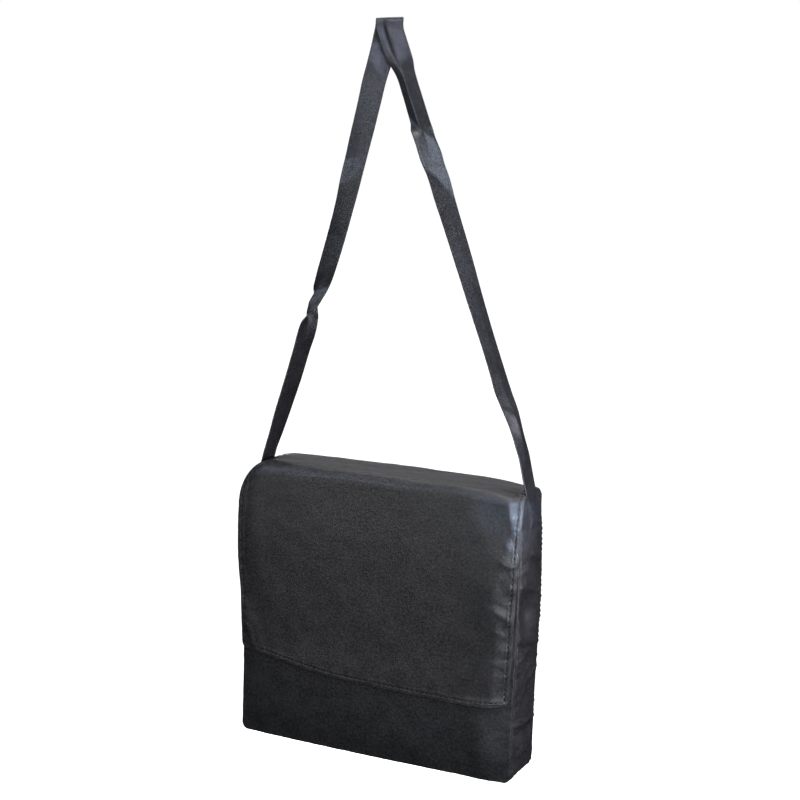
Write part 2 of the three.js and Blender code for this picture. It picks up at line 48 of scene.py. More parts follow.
# Driving dimensions, the same as those of the solids
BAG_WIDTH = 360.0
BAG_HEIGHT = 343.0
BAG_DEPTH = 74.0
CLOTH = 1.2
SEAM_GAP = 0.3
LAY_GAP = 0.6
CORNER_RADIUS = 9.0
FLAP_LAP = 18.0
FLAP_BACK_RADIUS = 5.0
FLAP_CROWN = 2.5
FLAP_CORNER = 9.0
STRAP_WIDTH = 30.6
STRAP_THICK = 1.6
STRAP_LAP = 42.0
STRAP_SEAT_GAP = 0.2
LEG_LEAN = 0.27
PEG_RADIUS = 4.2
PEG_TURN = 25.0
PEG_FLAT = 0.5
PEG_TILT = 0.06
PEG_RAISE = 1.2
HALF_WIDTH = BAG_WIDTH / 2
HALF_DEPTH = BAG_DEPTH / 2
HALF_STRIP = HALF_DEPTH - CLOTH - SEAM_GAP

# Softness of the cloth body
FRONT_BULGE = 6.0
BACK_BULGE = 3.0
BULGE_POWER = 6.0
BASE_SAG = 1.8
TOP_RAISE = 0.7
TOP_TILT = -0.004
PANEL_ROLL = 1.6
GUSSET_ROLL = 2.6
HEM_WIDTH = 9.0
HEM_RAISE = 0.4
HEM_STITCH_IN = 5.5
SEAM_STITCH_IN = 6.5
STITCH_PITCH = 6.2
STITCH_LENGTH = 4.2
STITCH_RADIUS = 0.58
CREASE_ROUND = 0.5
CREASE_FADE = 1.5
RIM_ROUND = 0.4
PUCKER_STRETCH = 0.35
DENT_POWER = 4


def columns(names, *rows):
    """A table as a dict of named columns."""
    return dict(zip(names.split(), np.array(rows, float).T))


def rows_of(table, **wanted):
    """The rows of a table as dicts, or only those with a wanted value."""
    rows = [dict(zip(table, values)) for values in zip(*table.values())]
    return [row for row in rows if all(row[name] == value for name, value in wanted.items())]


# Half widths of the body by share of the height, from the top down
BODY_SIDES = columns(
    "share left right",
    (0, 171, 179.5),
    (0.08, 173.5, 180.1),
    (0.2, 176.5, 181.7),
    (0.36, 179.2, 183.4),
    (0.5, 179.9, 183),
    (0.7, 179.8, 181.5),
    (0.86, 180, 181.2),
    (1, 180.8, 181.4),
)
# How full the front and back stand at each share of the height
FULLNESS = columns(
    "share full",
    (0, 0.55), (0.3, 0.9), (0.6, 1), (0.8, 0.95), (0.93, 0.6),
    (1, 0),
)
# Top edges of the front and back panels
FRONT_TOP = columns("x z", (-180, -24), (-100, -15), (0, -9), (100, -8), (180, -13))
BACK_TOP = columns(
    "x z",
    (-180, -16), (-172, -8), (-140, -5), (0, -3), (100, -3.5),
    (172, -4), (177, -6), (180, -12),
)
# Top edge of the gusset on the two sides, from the front to the back
GUSSET_TOP = columns(
    "y left right",
    (-36, -18, -15),
    (-28, -11, -11.5),
    (-18, -8.5, -7),
    (-12, -8, -4),
    (0, -8, -3),
    (12, -8, -3.5),
    (20, -8, -2),
    (28, -9, -3),
    (33, -10, -7.5),
    (36, -12, -13.5),
)
# Soft folds of the two panels: the middle by x and z, the height, the half sizes and the slant
FRONT_FOLDS = columns(
    "u v high half_u half_v slant",
    (147, -300, 5.6, 19, 43, 0),
    (-60, -300, 0.9, 60, 30, 0),
    (40, -312, 0.7, 34, 16, 0),
    (-150, -308, 0.9, 18, 26, 0),
)
BACK_FOLDS = columns(
    "u v high half_u half_v slant",
    (-90, -130, 1.5, 60, 80, 0),
    (100, -190, 1.6, 50, 90, 0),
    (10, -270, 1.2, 80, 30, 0),
)
# The valley that the strap draws into each side: its depth and the length over which it fades
STRAP_PULL = {-1: (2.5, 60.0), 1: (1.0, 60.0)}
# The round swell of the gusset across its depth: how far it stands out and where its crest is
GUSSET_CROWN = columns(
    "z high crest",
    (-343, 3, 0),
    (-305, 4.5, 0),
    (-255, 4.5, 2),
    (-190, 5.5, 4),
    (-140, 7, 4),
    (-100, 8, 2),
    (-50, 8, 0),
    (-36, 5.6, 0),
    (-22, 2.7, 0),
    (-9, 0, 0),
)
# Dents of the gusset: the side, the middle by z and y, the depth, the half sizes and the slant
GUSSET_DENTS = columns(
    "side u v high half_u half_v slant",
    (1, -90, 4, 2.6, 11, 24, -0.3),
    (1, -140, -12, 12, 24, 21, -0.28),
    (1, -198, 2, 3, 9, 22, -0.2),
    (1, -240, 10, 3, 13, 18, 0.1),
    (1, -290, 6, 3.4, 12, 22, -0.08),
    (-1, -120, 4, 4, 34, 16, -0.3),
    (-1, -225, -2, 3.5, 30, 18, 0.2),
)
# Sharp creases of the gusset between two points by y and z, inward where the depth is positive
GUSSET_CREASES = columns(
    "side u0 v0 u1 v1 depth wide",
    (1, -12, -71, 22, -83, -2.2, 2.8),
    (1, -12, -79, 24, -91, 2.2, 3.2),
    (1, -34, -108, 14, -121, -1.6, 3.6),
    (1, -36, -177, 28, -194, 3.4, 3.2),
    (1, -34, -198, -8, -190, -1.2, 3.2),
    (1, 4, -205, 31, -203, -0.9, 2.6),
    (1, 4, -214, 31, -212, 1, 3),
    (1, 2, -222, 31, -219, -1.2, 3.2),
    (1, 4, -231, 31, -229, 1, 3),
    (1, 4, -239, 31, -236, -1, 3.2),
    (1, -34, -274, 24, -278, -2.6, 4.2),
    (1, -30, -284, 26, -289, 2.2, 4.5),
    (-1, -30, -150, 26, -168, 1.8, 5),
    (-1, -28, -262, 28, -250, 1.6, 5),
)
# Radius of the soft fold where the flap turns down at the front
FLAP_FOLD = columns(
    "x radius",
    (-190, 32), (-160, 24), (-100, 16), (0, 13.5), (100, 12),
    (145, 10.5), (168, 8), (190, 7),
)
# The drooping ends of the flap: the side, where the droop starts, its run and its depth there
FLAP_DROOP = columns("side start run drop", (-1, 150, 20, 4.5), (1, 100, 80, 7))
# Side edges of the flap along the cloth, measured from its back seam
FLAP_EDGES = columns(
    "run left right",
    (0, -170, 175),
    (22, -169.5, 175.5),
    (40, -168, 174.5),
    (58, -165, 174.5),
    (78, -165.5, 175),
    (83, -169, 175.5),
    (92, -180.5, 176),
    (100, -186.5, 176),
    (115, -187, 176),
    (135, -187.6, 176),
    (165, -187.6, 176),
    (195, -187.6, 176),
    (225, -186.2, 176),
    (260, -183.5, 176),
    (300, -181.7, 176),
    (350, -180.2, 176),
)
FLAP_HEM = columns(
    "x z",
    (-190, -235), (-150, -237), (-100, -244), (-50, -250), (0, -252),
    (60, -253), (120, -253.5), (150, -251), (190, -247),
)
# Soft folds of the flap: the middle by x and z, the height, the half sizes and the slant
FLAP_FOLDS = columns(
    "u v high half_u half_v slant",
    (155, -225, 1.2, 24, 26, 0),
    (60, -250, 2.2, 80, 26, 0),
    (-80, -244, 2.8, 70, 28, 0),
    (-168, -205, 2, 12, 30, -0.4),
    (-172, -75, 3, 22, 46, 0.1),
    (140, -48, 1.8, 18, 26, -0.3),
    (150, -257, 4.2, 28, 12, 0),
)
# The flap's right margin, which wraps round the bag's corner: the place of its crest, how far
# the crest stands out, the place of its edge, and how flat it lies between them
FLAP_MARGIN = columns(
    "z crest high edge_x edge_y flat",
    (-255, 156, 3.2, 177, -38.8, 0.9),
    (-234, 157, 3.2, 177.5, -39, 0.9),
    (-198, 160, 3.6, 178.5, -39.2, 0.85),
    (-156, 159, 4.4, 179.4, -39.3, 0.8),
    (-130, 157, 5.6, 179.8, -39.2, 0.75),
    (-108, 157, 6.2, 181, -39, 0.7),
    (-86, 162.5, 5.4, 181.4, -38.6, 0.6),
    (-72, 166.5, 4.4, 182.1, -38.2, 0.7),
    (-57, 171.5, 2.4, 182.4, -38, 0.85),
    (-40, 173, 1.6, 182.6, -37.2, 0.92),
    (-28, 171.5, 2.4, 183.2, -35.4, 0.95),
    (-14, 169, 3, 183.6, -33, 0.95),
    (5, 169, 3, 183.4, -30, 0.95),
)
RIDGE_INSIDE = 26.0
# Beside the strap the flap's top rises beyond a line from its front right corner to the back.
# The rise starts softly and fades down the front and towards the back.
RISE_LINE = 165.0
RISE_SLANT = -0.154
RISE_SLOPE = 0.42
RISE_ROUND = 2.0
RISE_FLAT = 1.4
RISE_HEIGHTS = (-40.0, -4.0)
RISE_DEPTHS = (26.0, 10.0)
# Sharp creases of the flap between two points by x and z, raised where the depth is negative
FLAP_CREASES = columns(
    "u0 v0 u1 v1 depth wide",
    (-171, -205, -163, -226, -0.7, 2.4),
    (-166, -203, -156, -224, 0.6, 2.6),
    (-176, -222, -158, -231, -0.5, 2.2),
    (166, -58, 175, -66, -0.9, 3.5),
    (164, -78, 175, -84, -0.9, 3.5),
    (158, -136, 172, -144, -1.2, 4.5),
    (160, -128, 172, -132, 0.9, 4.5),
    (160, -160, 172, -166, -0.9, 4),
    (160, -198, 170, -203, -0.7, 4),
    (136, -247.5, 171, -245, -0.9, 2.6),
)
# Zones of the flap along the cloth, from its seam on the back to its hem: the name, the start,
# the end, the length by which the rows are counted, and their step
FLAP_STEP = 2.3
FLAP_ZONES = (
    ("lap", 0, 14, 14, FLAP_STEP),
    ("back", 14, 22, 8, 1.3),
    ("top", 22, 84, 62, 1.8),
    ("fold", 84, 100, 16, 1.0),
    ("front", 100, 345, 240, FLAP_STEP),
)
FLAP_WIDTH = 374.0
FLAP_RIGHT = 176.0
FLAP_HEM_RIGHT = 172.0
FAR_FROM_HEM = 99.0
# Runs and places along the flap's cloth between which each kind of relief sets in or ends
WRAP_RUNS = (77.0, 84.0)
SEWN_RUNS = (2.0, 18.0)
STREAK_START = (20.0, 28.0)
STREAK_END = (104.0, 90.0)
CREASE_RUNS = (100.0, 115.0)
LUMP_RUNS = (96.0, 111.0)
LUMP_PLACES = (150.0, 170.0)
HEM_STEP = (HEM_WIDTH - 4.0, HEM_WIDTH + 2.0)
HEM_GROOVE = 0.45
HEM_GROOVE_HALF = 1.1
LUMP_CELL = 11.0
LUMP_HIGH = 0.5
STREAK_CELL = 13.0
STREAK_HIGH = 1.15
STREAK_SLANT = 1.5
STREAK_STRETCH = 0.28
SEWN_SHARE = 0.2
FLAP_THIN = 0.75
HEM_THICK = 0.6
# Small crumples of the panels, the gusset and the flap: cell sizes and heights of the gathers beside
# the stitches, of the swell and of the waves, the reach of the gathers, and the calm border
PANEL_CRUMPLE, GUSSET_CRUMPLE, FLAP_CRUMPLE = rows_of(
    columns(
        "gather_cell gather swell_cell swell wave_cell wave reach calm",
        (6.5, 0.45, 60, 0.55, 17, 0.14, 11, 14),
        (6, 0.5, 34, 0.8, 12, 0.42, 9, 9),
        (5.5, 0.5, 55, 0.6, 15, 0.2, 7, 16),
    )
)
# Sections of the strap on its left and right legs, by how far they hang below the hanging point.
# x and y place the middle, turn is the heading of the width from +X about +Z, crease is the place
# of a lengthwise crease across the width (its middle on the left leg), fold is its angle, and
# gather is the share of the width that is left where the cloth is bunched.
LEFT_LEG = columns(
    "drop x y turn fold gather",
    (8, -2.7, 4.3, 25, 0, 1),
    (20, -5.8, 4.2, 14, 0, 1),
    (32, -9, 3.9, 4, 0, 1),
    (48, -13.1, 3.5, 2, 0, 1),
    (70, -19.5, 3.1, -2, 0, 1),
    (96, -25.1, 2.5, -4, 0, 1),
    (150, -38.3, 1.5, -8, -6, 1),
    (180, -45.2, 0.5, -11, -6, 1),
    (208, -52.4, 1.5, -16, -8, 1),
    (265, -68, 1, -18, -6, 1),
    (300, -78.5, 0, -22, -10, 1),
    (318, -86.2, 0, -27, -44, 0.97),
    (330, -90.9, 0, -44, -104, 0.92),
    (338, -93.6, 0, -63, -124, 0.9),
    (345, -96, 0, -86, -88, 0.94),
    (354, -98.4, 0, -101, -36, 1),
    (372, -102.2, 0, -106, -8, 1),
    (392, -107.8, 0, -103, 0, 1),
    (430, -119.6, 0, -101, 0, 1),
    (468, -132, 0, -98, 4, 1),
    (500, -142, 0, -93, 8, 1),
)
RIGHT_LEG = columns(
    "drop x y turn crease fold gather",
    (8, 1.4, -4.3, 25, 0.36, -6, 1),
    (30, 9.9, -4.2, 24, 0.36, -6, 1),
    (44, 15.2, -4, 20, 0.38, 20, 1),
    (54, 19, -3.7, 14, 0.42, 68, 1),
    (66, 24.1, -3.4, 10, 0.46, 88, 1),
    (82, 30.1, -3, 9, 0.47, 88, 1),
    (115, 42, -2, 9, 0.48, 82, 1),
    (121, 44.5, -1.8, 16, 0.48, 74, 0.98),
    (130, 48.2, -1.4, 46, 0.47, 36, 0.94),
    (140, 52.3, -1.2, 53, 0.46, 14, 0.97),
    (150, 56.4, -1.2, 54, 0.46, 8, 1),
    (162, 60.9, -2, 58, 0.45, 4, 1),
    (178, 67.5, 0, 62, 0.5, 6, 1),
    (204, 77.1, 0, 65, 0.5, 12, 1),
    (271, 102.6, 0, 70, 0.5, 10, 1),
    (318, 119.8, 0, 75, 0.5, 10, 1),
    (360, 135.8, 0, 79, 0.5, 10, 1),
    (400, 151.1, 0, 78, 0.5, 18, 1),
    (420, 159.1, 0, 73, 0.46, 30, 1),
    (440, 169, 0, 74, 0.44, 42, 1),
    (460, 177, 0, 84, 0.48, 38, 1),
    (494, 187.6, 0, 90, 0.5, 12, 1),
)
# Bends across the strap: the leg, the drop at mid-width, the slant across the width, the lengths
# over which the cloth recedes above and below, how far the bend stands out, and how that grows
# across the width
STRAP_BENDS = columns(
    "leg drop slant above below high lean",
    (-1, 61, 0.9, 28, 120, 8, -0.12),
    (-1, 26, 0.1, 8, 12, -1.6, 0),
    (-1, 186, -0.3, 28, 60, 5, -0.3),
    (-1, 319, -0.5, 26, 16, -9, 0),
    (1, 184, 1.1, 56, 80, 12, 0),
    (1, 168, 0, 5, 5, -1.5, 0),
    (1, 446, 0.8, 26, 30, 4, 0),
)
BEND_HEADING = radians(25.0)
BEND_OUT = np.array((sin(BEND_HEADING), -cos(BEND_HEADING), 0))
BEND_ROUND = 0.001
BEND_FLAT = 0.03
# A narrow groove along the top of the right leg: its drop, its place across the width and its depth
STRAP_GROOVE = columns(
    "drop across deep",
    (-6, -4.6, 0),
    (4, -4.6, 1.6),
    (30, -4.4, 1.9),
    (50, -3.4, 1.2),
    (62, -2.6, 0),
)
GROOVE_HALF = 1.5
# Softness of the strap: its lengthwise folds, its swell, the gathers and the line along its edges,
# and its ends, which lie flat and thin out towards their rims
FOLD_ROUND = 0.8
FOLD_FLAT = 0.9
STRAP_SWELL_CELL = 26.0
STRAP_SWELL = 0.35
STRAP_GATHER_CELL = 5.0
STRAP_GATHER = 0.16
STRAP_GATHER_REACH = 4.0
STRAP_LINE_IN = 3.0
STRAP_LINE_DEEP = 0.22
STRAP_LINE_HALF = 0.8
SEAT_ABOVE = 14.0
SEAT_LEAN_FROM = 8.0
SEAT_HELD = -10.0
SEAT_ENDS = (STRAP_LAP - 12.0, STRAP_LAP)
SEAT_THIN = 0.9
SEAT_THIN_REACH = 7.0
SEAT_CALM = 0.8

# Mesh steps
FRONT_STEP = 2.6
BACK_STEP = 4.0
GUSSET_STEP = 2.2
GUSSET_BASE_COLUMNS = 160
GUSSET_BEND_STEPS = 8
MARGIN_STEPS = 32
STRAP_STEP = 1.8
STRAP_COLUMNS = 38
STRAP_EDGE_OFFSETS = (0, 0.5, 1.2, 2.2, 3.2, 4.4)
STRAP_SMOOTHING = 3
PEG_ROWS = 15
HEM_OFFSETS = (0, 0.7, 1.6, 2.6, 3.6, 4.4, 5.0, 5.5, 6.0, 6.8, 7.8, 8.5, 9.0, 9.5, 10.3, 11.6)
ROLL_OFFSETS = (0, 0.15, 0.4, 0.8, 1.3, 1.9, 2.6, 3.6, 5.0, 6.6)
# The second edge of a strip takes its gathers from another part of the noise
OTHER_EDGE_GUSSET = 400.0
OTHER_EDGE_STRAP = 500.0

# Stitches: the rows and columns of the meshes that they follow, and the rings of one stitch
HEM_STITCH_START = 4
SEAM_STITCH_ROWS = (1, 3)
SEAM_STITCH_INSIDE = slice(6, -6)
STRAP_STITCH_ROWS = (2, 17, -3, -18)
STITCH_INSIDE = slice(3, -3)
STITCH_SIDES = 6
STITCH_LOOK = 0.5
STITCH_RINGS = columns(
    "share thick rise",
    (-0.5, 0.35, -0.5),
    (-0.36, 0.9, 0.1),
    (0, 1, 0.45),
    (0.36, 0.9, 0.1),
    (0.5, 0.35, -0.5),
)


def curve(at, value):
    """A smooth curve through values at given places."""
    slope = np.empty_like(value)
    slope[1:-1] = (value[2:] - value[:-2]) / (at[2:] - at[:-2])
    slope[0] = (value[1] - value[0]) / (at[1] - at[0])
    slope[-1] = (value[-1] - value[-2]) / (at[-1] - at[-2])

    def run(where):
        place = np.clip(where, at[0], at[-1])
        i = np.clip(np.searchsorted(at, place, side="right") - 1, 0, len(at) - 2)
        span = at[i + 1] - at[i]
        t = (place - at[i]) / span
        ends = (1 + 2 * t) * (1 - t) ** 2 * value[i] + t * t * (3 - 2 * t) * value[i + 1]
        bend = t * (1 - t) ** 2 * slope[i] - t * t * (1 - t) * slope[i + 1]
        return ends + bend * span

    return run


def curves(table, key):
    """Smooth curves through the other columns of a table, by name."""
    return {name: curve(table[key], table[name]) for name in table if name != key}


def ease(t):
    """A smooth step from 0 to 1."""
    t = np.clip(t, 0, 1)
    return t * t * (3 - 2 * t)


def between(value, start, end):
    """A smooth step from 0 at the start to 1 at the end."""
    return ease((value - start) / (end - start))


def unit(vectors):
    """Vectors brought to a length of 1."""
    return vectors / np.maximum(np.linalg.norm(vectors, axis=-1, keepdims=True), 1e-9)


def run_lengths(points):
    """How far each point of a path lies from its start."""
    steps = np.linalg.norm(np.diff(points, axis=0), axis=1)
    return np.concatenate([[0], np.cumsum(steps)])


def soft_fold(u, v, fold):
    """Height of one soft fold or dent at a place."""
    along = (v - fold["v"]) / fold["half_v"]
    across = (u - fold["u"] - fold["slant"] * (v - fold["v"])) / fold["half_u"]
    return fold["high"] * np.exp(-(across**2) - along**2)


def soft_noise(seed, cell):
    """A smooth random field between about -1 and 1, with lumps of one cell's size."""
    size = 97
    shift = size * 8
    lattice = np.random.default_rng(seed).uniform(-1, 1, (size, size))

    def field(u, v):
        a = np.asarray(u) / cell + shift
        b = np.asarray(v) / cell + shift
        i = np.floor(a).astype(int)
        j = np.floor(b).astype(int)
        s = ease(a - i)
        t = ease(b - j)
        i, j, after, above = (k % size for k in (i, j, i + 1, j + 1))
        low = lattice[i, j] * (1 - s) + lattice[after, j] * s
        high = lattice[i, above] * (1 - s) + lattice[after, above] * s
        return low * (1 - t) + high * t

    return field


def crease(u, v, fold):
    """Depth of one sharp fold along a line, which fades beside it and beyond its ends."""
    u0, v0, u1, v1, depth, wide = (fold[name] for name in ("u0", "v0", "u1", "v1", "depth", "wide"))
    along = np.array([u1 - u0, v1 - v0])
    length = np.hypot(*along)
    along = along / length
    s = (u - u0) * along[0] + (v - v0) * along[1]
    off = np.abs((v - v0) * along[0] - (u - u0) * along[1])
    beyond = np.maximum(np.maximum(-s, s - length), 0)
    sharp = np.sqrt(off**2 + CREASE_ROUND**2) - CREASE_ROUND
    return depth * np.exp(-sharp / wide - (beyond / (CREASE_FADE * wide)) ** 2)


def shares(length, step, fine_start=(), fine_end=()):
    """Shares from 0 to 1 along a length, with finer places near its ends."""
    first = np.array(fine_start or (0.0,))
    last = length - np.array(fine_end or (0.0,))[::-1]
    count = max(round((last[0] - first[-1]) / step), 1)
    middle = np.linspace(first[-1], last[0], count + 1)
    return np.unique(np.concatenate([first, middle, last])) / length


def normals(grid):
    """Outward directions of a grid of points whose rows run down and columns to the right."""
    down = np.gradient(grid, axis=0)
    right = np.gradient(grid, axis=1)
    return unit(np.cross(down, right))


def add_object(name, data):
    """A new object in the scene."""
    made = bpy.data.objects.new(name, data)
    bpy.context.scene.collection.objects.link(made)
    return made


def mesh_object(name, points, faces, flat=None):
    """A smooth mesh object from points in millimetres, with places on the flat cloth as UVs."""
    mesh = bpy.data.meshes.new(name)
    mesh.from_pydata(((points + TO_FRAME) * MM).tolist(), [], faces)
    mesh.polygons.foreach_set("use_smooth", np.ones(len(mesh.polygons), bool))
    if flat is not None:
        corner = np.empty(len(mesh.loops), np.int32)
        mesh.loops.foreach_get("vertex_index", corner)
        layer = mesh.uv_layers.new(name="cloth")
        layer.uv.foreach_set("vector", (flat[corner] * MM).astype(np.float32).ravel())
    mesh.validate()
    mesh.update()
    return add_object(name, mesh)


def closed_sheet(name, outer, thickness, across, along):
    """A closed sheet with a rounded rim, from its outer face and its places on the flat cloth."""
    rows, cols = outer.shape[:2]
    inner = outer - normals(outer) * np.broadcast_to(thickness, (rows, cols))[..., None]
    index = np.arange(rows * cols).reshape(rows, cols)
    rim = np.concatenate([index[0, :-1], index[:-1, -1], index[-1, :0:-1], index[:0:-1, 0]])
    inside = np.clip(np.stack(np.divmod(rim, cols), 1), 1, (rows - 2, cols - 2))
    flat_outer = outer.reshape(-1, 3)
    flat_inner = inner.reshape(-1, 3)
    outward = unit(flat_outer[rim] - outer[inside[:, 0], inside[:, 1]])
    reach = RIM_ROUND * np.linalg.norm(flat_outer[rim] - flat_inner[rim], axis=1, keepdims=True)
    edge = (flat_outer[rim] + flat_inner[rim]) / 2 + outward * reach
    points = np.concatenate([flat_outer, flat_inner, edge])
    a = index[:-1, :-1].ravel()
    b = index[:-1, 1:].ravel()
    c = index[1:, 1:].ravel()
    d = index[1:, :-1].ravel()
    back = rows * cols
    faces = np.concatenate([np.stack([a, d, c, b], 1), np.stack([a, b, c, d], 1) + back])
    ring = 2 * back + np.arange(len(rim))
    following = np.roll(ring, -1)
    ahead = np.roll(rim, -1)
    near = np.stack([rim, ahead, following, ring], 1)
    far = np.stack([ring, following, ahead + back, rim + back], 1)
    faces = np.concatenate([faces, near, far])
    place = np.stack([across.ravel(), along.ravel()], 1)
    flat = np.concatenate([place, place, place[rim]])
    return mesh_object(name, points, faces.tolist(), flat)


body_half = curves(BODY_SIDES, "share")
fullness = curves(FULLNESS, "share")["full"]
front_top = curves(FRONT_TOP, "x")["z"]
back_top = curves(BACK_TOP, "x")["z"]
crown = curves(GUSSET_CROWN, "z")
gusset_top = dict(zip((-1, 1), curves(GUSSET_TOP, "y").values()))
fold_radius = curves(FLAP_FOLD, "x")["radius"]
flap_hem = curves(FLAP_HEM, "x")["z"]
flap_edge = curves(FLAP_EDGES, "run")
margin = curves(FLAP_MARGIN, "z")
groove = curves(STRAP_GROOVE, "drop")


def half_width(side, z):
    """Half width of the body at one height, on the left where side is negative."""
    share = -np.asarray(z) / BAG_HEIGHT
    return np.where(np.asarray(side) < 0, body_half["left"](share), body_half["right"](share))


def bulge(x, z):
    """Share of a panel's bulge at one place."""
    across = np.minimum(np.abs(x) / half_width(x, z), 1)
    return (1 - across**BULGE_POWER) * fullness(-np.asarray(z) / BAG_HEIGHT)


def front_face(x, z):
    """Place of the front panel's outer face."""
    return -HALF_DEPTH - FRONT_BULGE * bulge(x, z)


def back_face(x, z):
    """Place of the back panel's outer face."""
    return HALF_DEPTH + BACK_BULGE * bulge(x, z)


def base_sag(x):
    """How far the bottom sags at one place across the bag."""
    return BASE_SAG * np.maximum(1 - (np.asarray(x) / HALF_WIDTH) ** 2, 0)


def panel_half_width(side, z):
    """Half width of a panel at one height, with round lower corners."""
    below = np.maximum(CORNER_RADIUS - (z + BAG_HEIGHT), 0)
    inset = CORNER_RADIUS - np.sqrt(np.maximum(CORNER_RADIUS**2 - below**2, 0))
    return half_width(side, np.maximum(z, CORNER_RADIUS - BAG_HEIGHT)) - inset


def roll_inset(distance, radius):
    """How far a border of cloth rolls in at one distance from its seam."""
    short = np.clip(radius - distance, 0, radius)
    return radius - np.sqrt(np.maximum(radius**2 - short**2, 0))


def pucker(along, distance, field, reach):
    """Small gathers beside a line of stitches."""
    return field(along, distance * PUCKER_STRETCH) * np.exp(-((distance / reach) ** 2))


def crumple(sizes, seed, u, v, beside, from_edge, from_stitches):
    """Small crumples of a sheet: gathers beside its stitches, a swell and waves off its edge."""
    gathers = soft_noise(seed, sizes["gather_cell"])
    swell = soft_noise(seed + 1, sizes["swell_cell"])
    waves = soft_noise(seed + 2, sizes["wave_cell"])
    calm = 1 - np.exp(-((from_edge / sizes["calm"]) ** 2))
    free = sizes["swell"] * swell(u, v) + sizes["wave"] * waves(u, v)
    return sizes["gather"] * pucker(beside, from_stitches, gathers, sizes["reach"]) + calm * free


def panel(name, step, face, top_edge, inward, folds, seed):
    """The front or the back panel of the body."""
    across = inward * (2 * shares(BAG_WIDTH, step, ROLL_OFFSETS, ROLL_OFFSETS) - 1)
    down = shares(BAG_HEIGHT, step, (), ROLL_OFFSETS)[:, None]
    top = top_edge(across * HALF_WIDTH)[None, :]
    base = -BAG_HEIGHT - base_sag(across * HALF_WIDTH)[None, :]
    z = top + (base - top) * down
    half = panel_half_width(across[None, :], np.maximum(z, -BAG_HEIGHT))
    x = across[None, :] * half
    y = face(x, z)
    from_side = half - np.abs(x)
    from_base = z - base
    from_seam = np.minimum(from_side, from_base)
    beside = np.where(from_side < from_base, z, x)
    depth = roll_inset(from_seam, PANEL_ROLL)
    depth = depth + crumple(PANEL_CRUMPLE, seed, x, z, beside, from_seam, from_seam)
    for fold in rows_of(folds):
        depth = depth - soft_fold(x, z, fold)
    outer = np.stack([x, y + inward * depth, z], 2)
    return closed_sheet(name, outer, CLOTH, x, z)


front_panel = panel("front_panel_cloth", FRONT_STEP, front_face, front_top, 1, FRONT_FOLDS, 11)
back_panel = panel("back_panel_cloth", BACK_STEP, back_face, back_top, -1, BACK_FOLDS, 21)


def valley(side, y, z):
    """The valley at mid-depth that the strap draws into one side."""
    deep, fade = STRAP_PULL[side]
    below = np.maximum(gusset_top[side](0.0) - z, 0)
    return deep * (1 - np.abs(y) / HALF_DEPTH) * np.exp(-below / fade)


def gusset_ridge(y, z):
    """How far the gusset's lengthwise ridge stands out at one place."""
    crest = crown["crest"](z)
    share = (y - crest) / np.where(y < crest, crest + HALF_DEPTH, HALF_DEPTH - crest)
    return crown["high"](z) * np.maximum(1 - share**2, 0)


def gusset_inset(side, y, z):
    """How far the gusset lies inside its flat place on one side."""
    edge = 1 - (y / HALF_DEPTH) ** DENT_POWER
    inset = valley(side, y, z) - gusset_ridge(y, z)
    for dent in rows_of(GUSSET_DENTS, side=side):
        inset = inset + edge * soft_fold(z, y, dent)
    for fold in rows_of(GUSSET_CREASES, side=side):
        inset = inset + edge * crease(y, z, fold)
    return inset


def gusset():
    """The strip that makes the left side, the bottom and the right side."""
    straight = BAG_HEIGHT - CORNER_RADIUS
    y = HALF_STRIP * (1 - 2 * shares(2 * HALF_STRIP, GUSSET_STEP, ROLL_OFFSETS, ROLL_OFFSETS))
    side_shares = np.linspace(0, 1, round(straight / GUSSET_STEP) + 1)
    centres = {side: side * (float(half_width(side, -straight)) - CORNER_RADIUS) for side in (-1, 1)}
    bend_angles = np.linspace(0, pi / 2, GUSSET_BEND_STEPS + 1)[1:-1]
    places = []
    outwards = []

    def add_row(x, z, out):
        places.append(np.stack([np.full_like(y, x), y, np.full_like(y, z)], 1))
        outwards.append(np.tile(out, (len(y), 1)))

    def side_row(side, share):
        top = gusset_top[side](y)
        z = top + (-straight - top) * share
        x = side * (half_width(side, z) - gusset_inset(side, y, z))
        add_row(x, z, (side, 0, 0))

    def bend_row(side, angle):
        out = (side * cos(angle), 0, -sin(angle))
        add_row(centres[side] + CORNER_RADIUS * out[0], -straight + CORNER_RADIUS * out[2], out)

    for share in side_shares:
        side_row(-1, share)
    for angle in bend_angles:
        bend_row(-1, angle)
    for x in np.linspace(centres[-1], centres[1], GUSSET_BASE_COLUMNS):
        add_row(x, -BAG_HEIGHT - base_sag(x), (0, 0, -1))
    for angle in bend_angles[::-1]:
        bend_row(1, angle)
    for share in side_shares[::-1]:
        side_row(1, share)
    outer = np.array(places)
    outward = np.array(outwards, float)
    along, across = np.meshgrid(run_lengths(outer[:, len(y) // 2]), y, indexing="ij")
    from_seam = HALF_STRIP - np.abs(across)
    beside = along + OTHER_EDGE_GUSSET * (across < 0)
    from_stitches = from_seam - SEAM_STITCH_IN
    depth = roll_inset(from_seam, GUSSET_ROLL)
    depth = depth + crumple(GUSSET_CRUMPLE, 31, along, across, beside, from_seam, from_stitches)
    outer = outer - outward * depth[..., None]
    piece = closed_sheet("gusset_cloth", outer, CLOTH, across, along)
    return piece, outer, y


gusset_piece, gusset_grid, gusset_y = gusset()


def flap_top(x):
    """Height of the flap's top face at one place across the bag."""
    z = FLAP_CROWN * (1 - (x / HALF_WIDTH) ** 2) + TOP_RAISE + TOP_TILT * x
    for droop in rows_of(FLAP_DROOP):
        past = np.maximum(droop["side"] * x - droop["start"], 0)
        z = z - droop["drop"] * (past / droop["run"]) ** 2
    return z


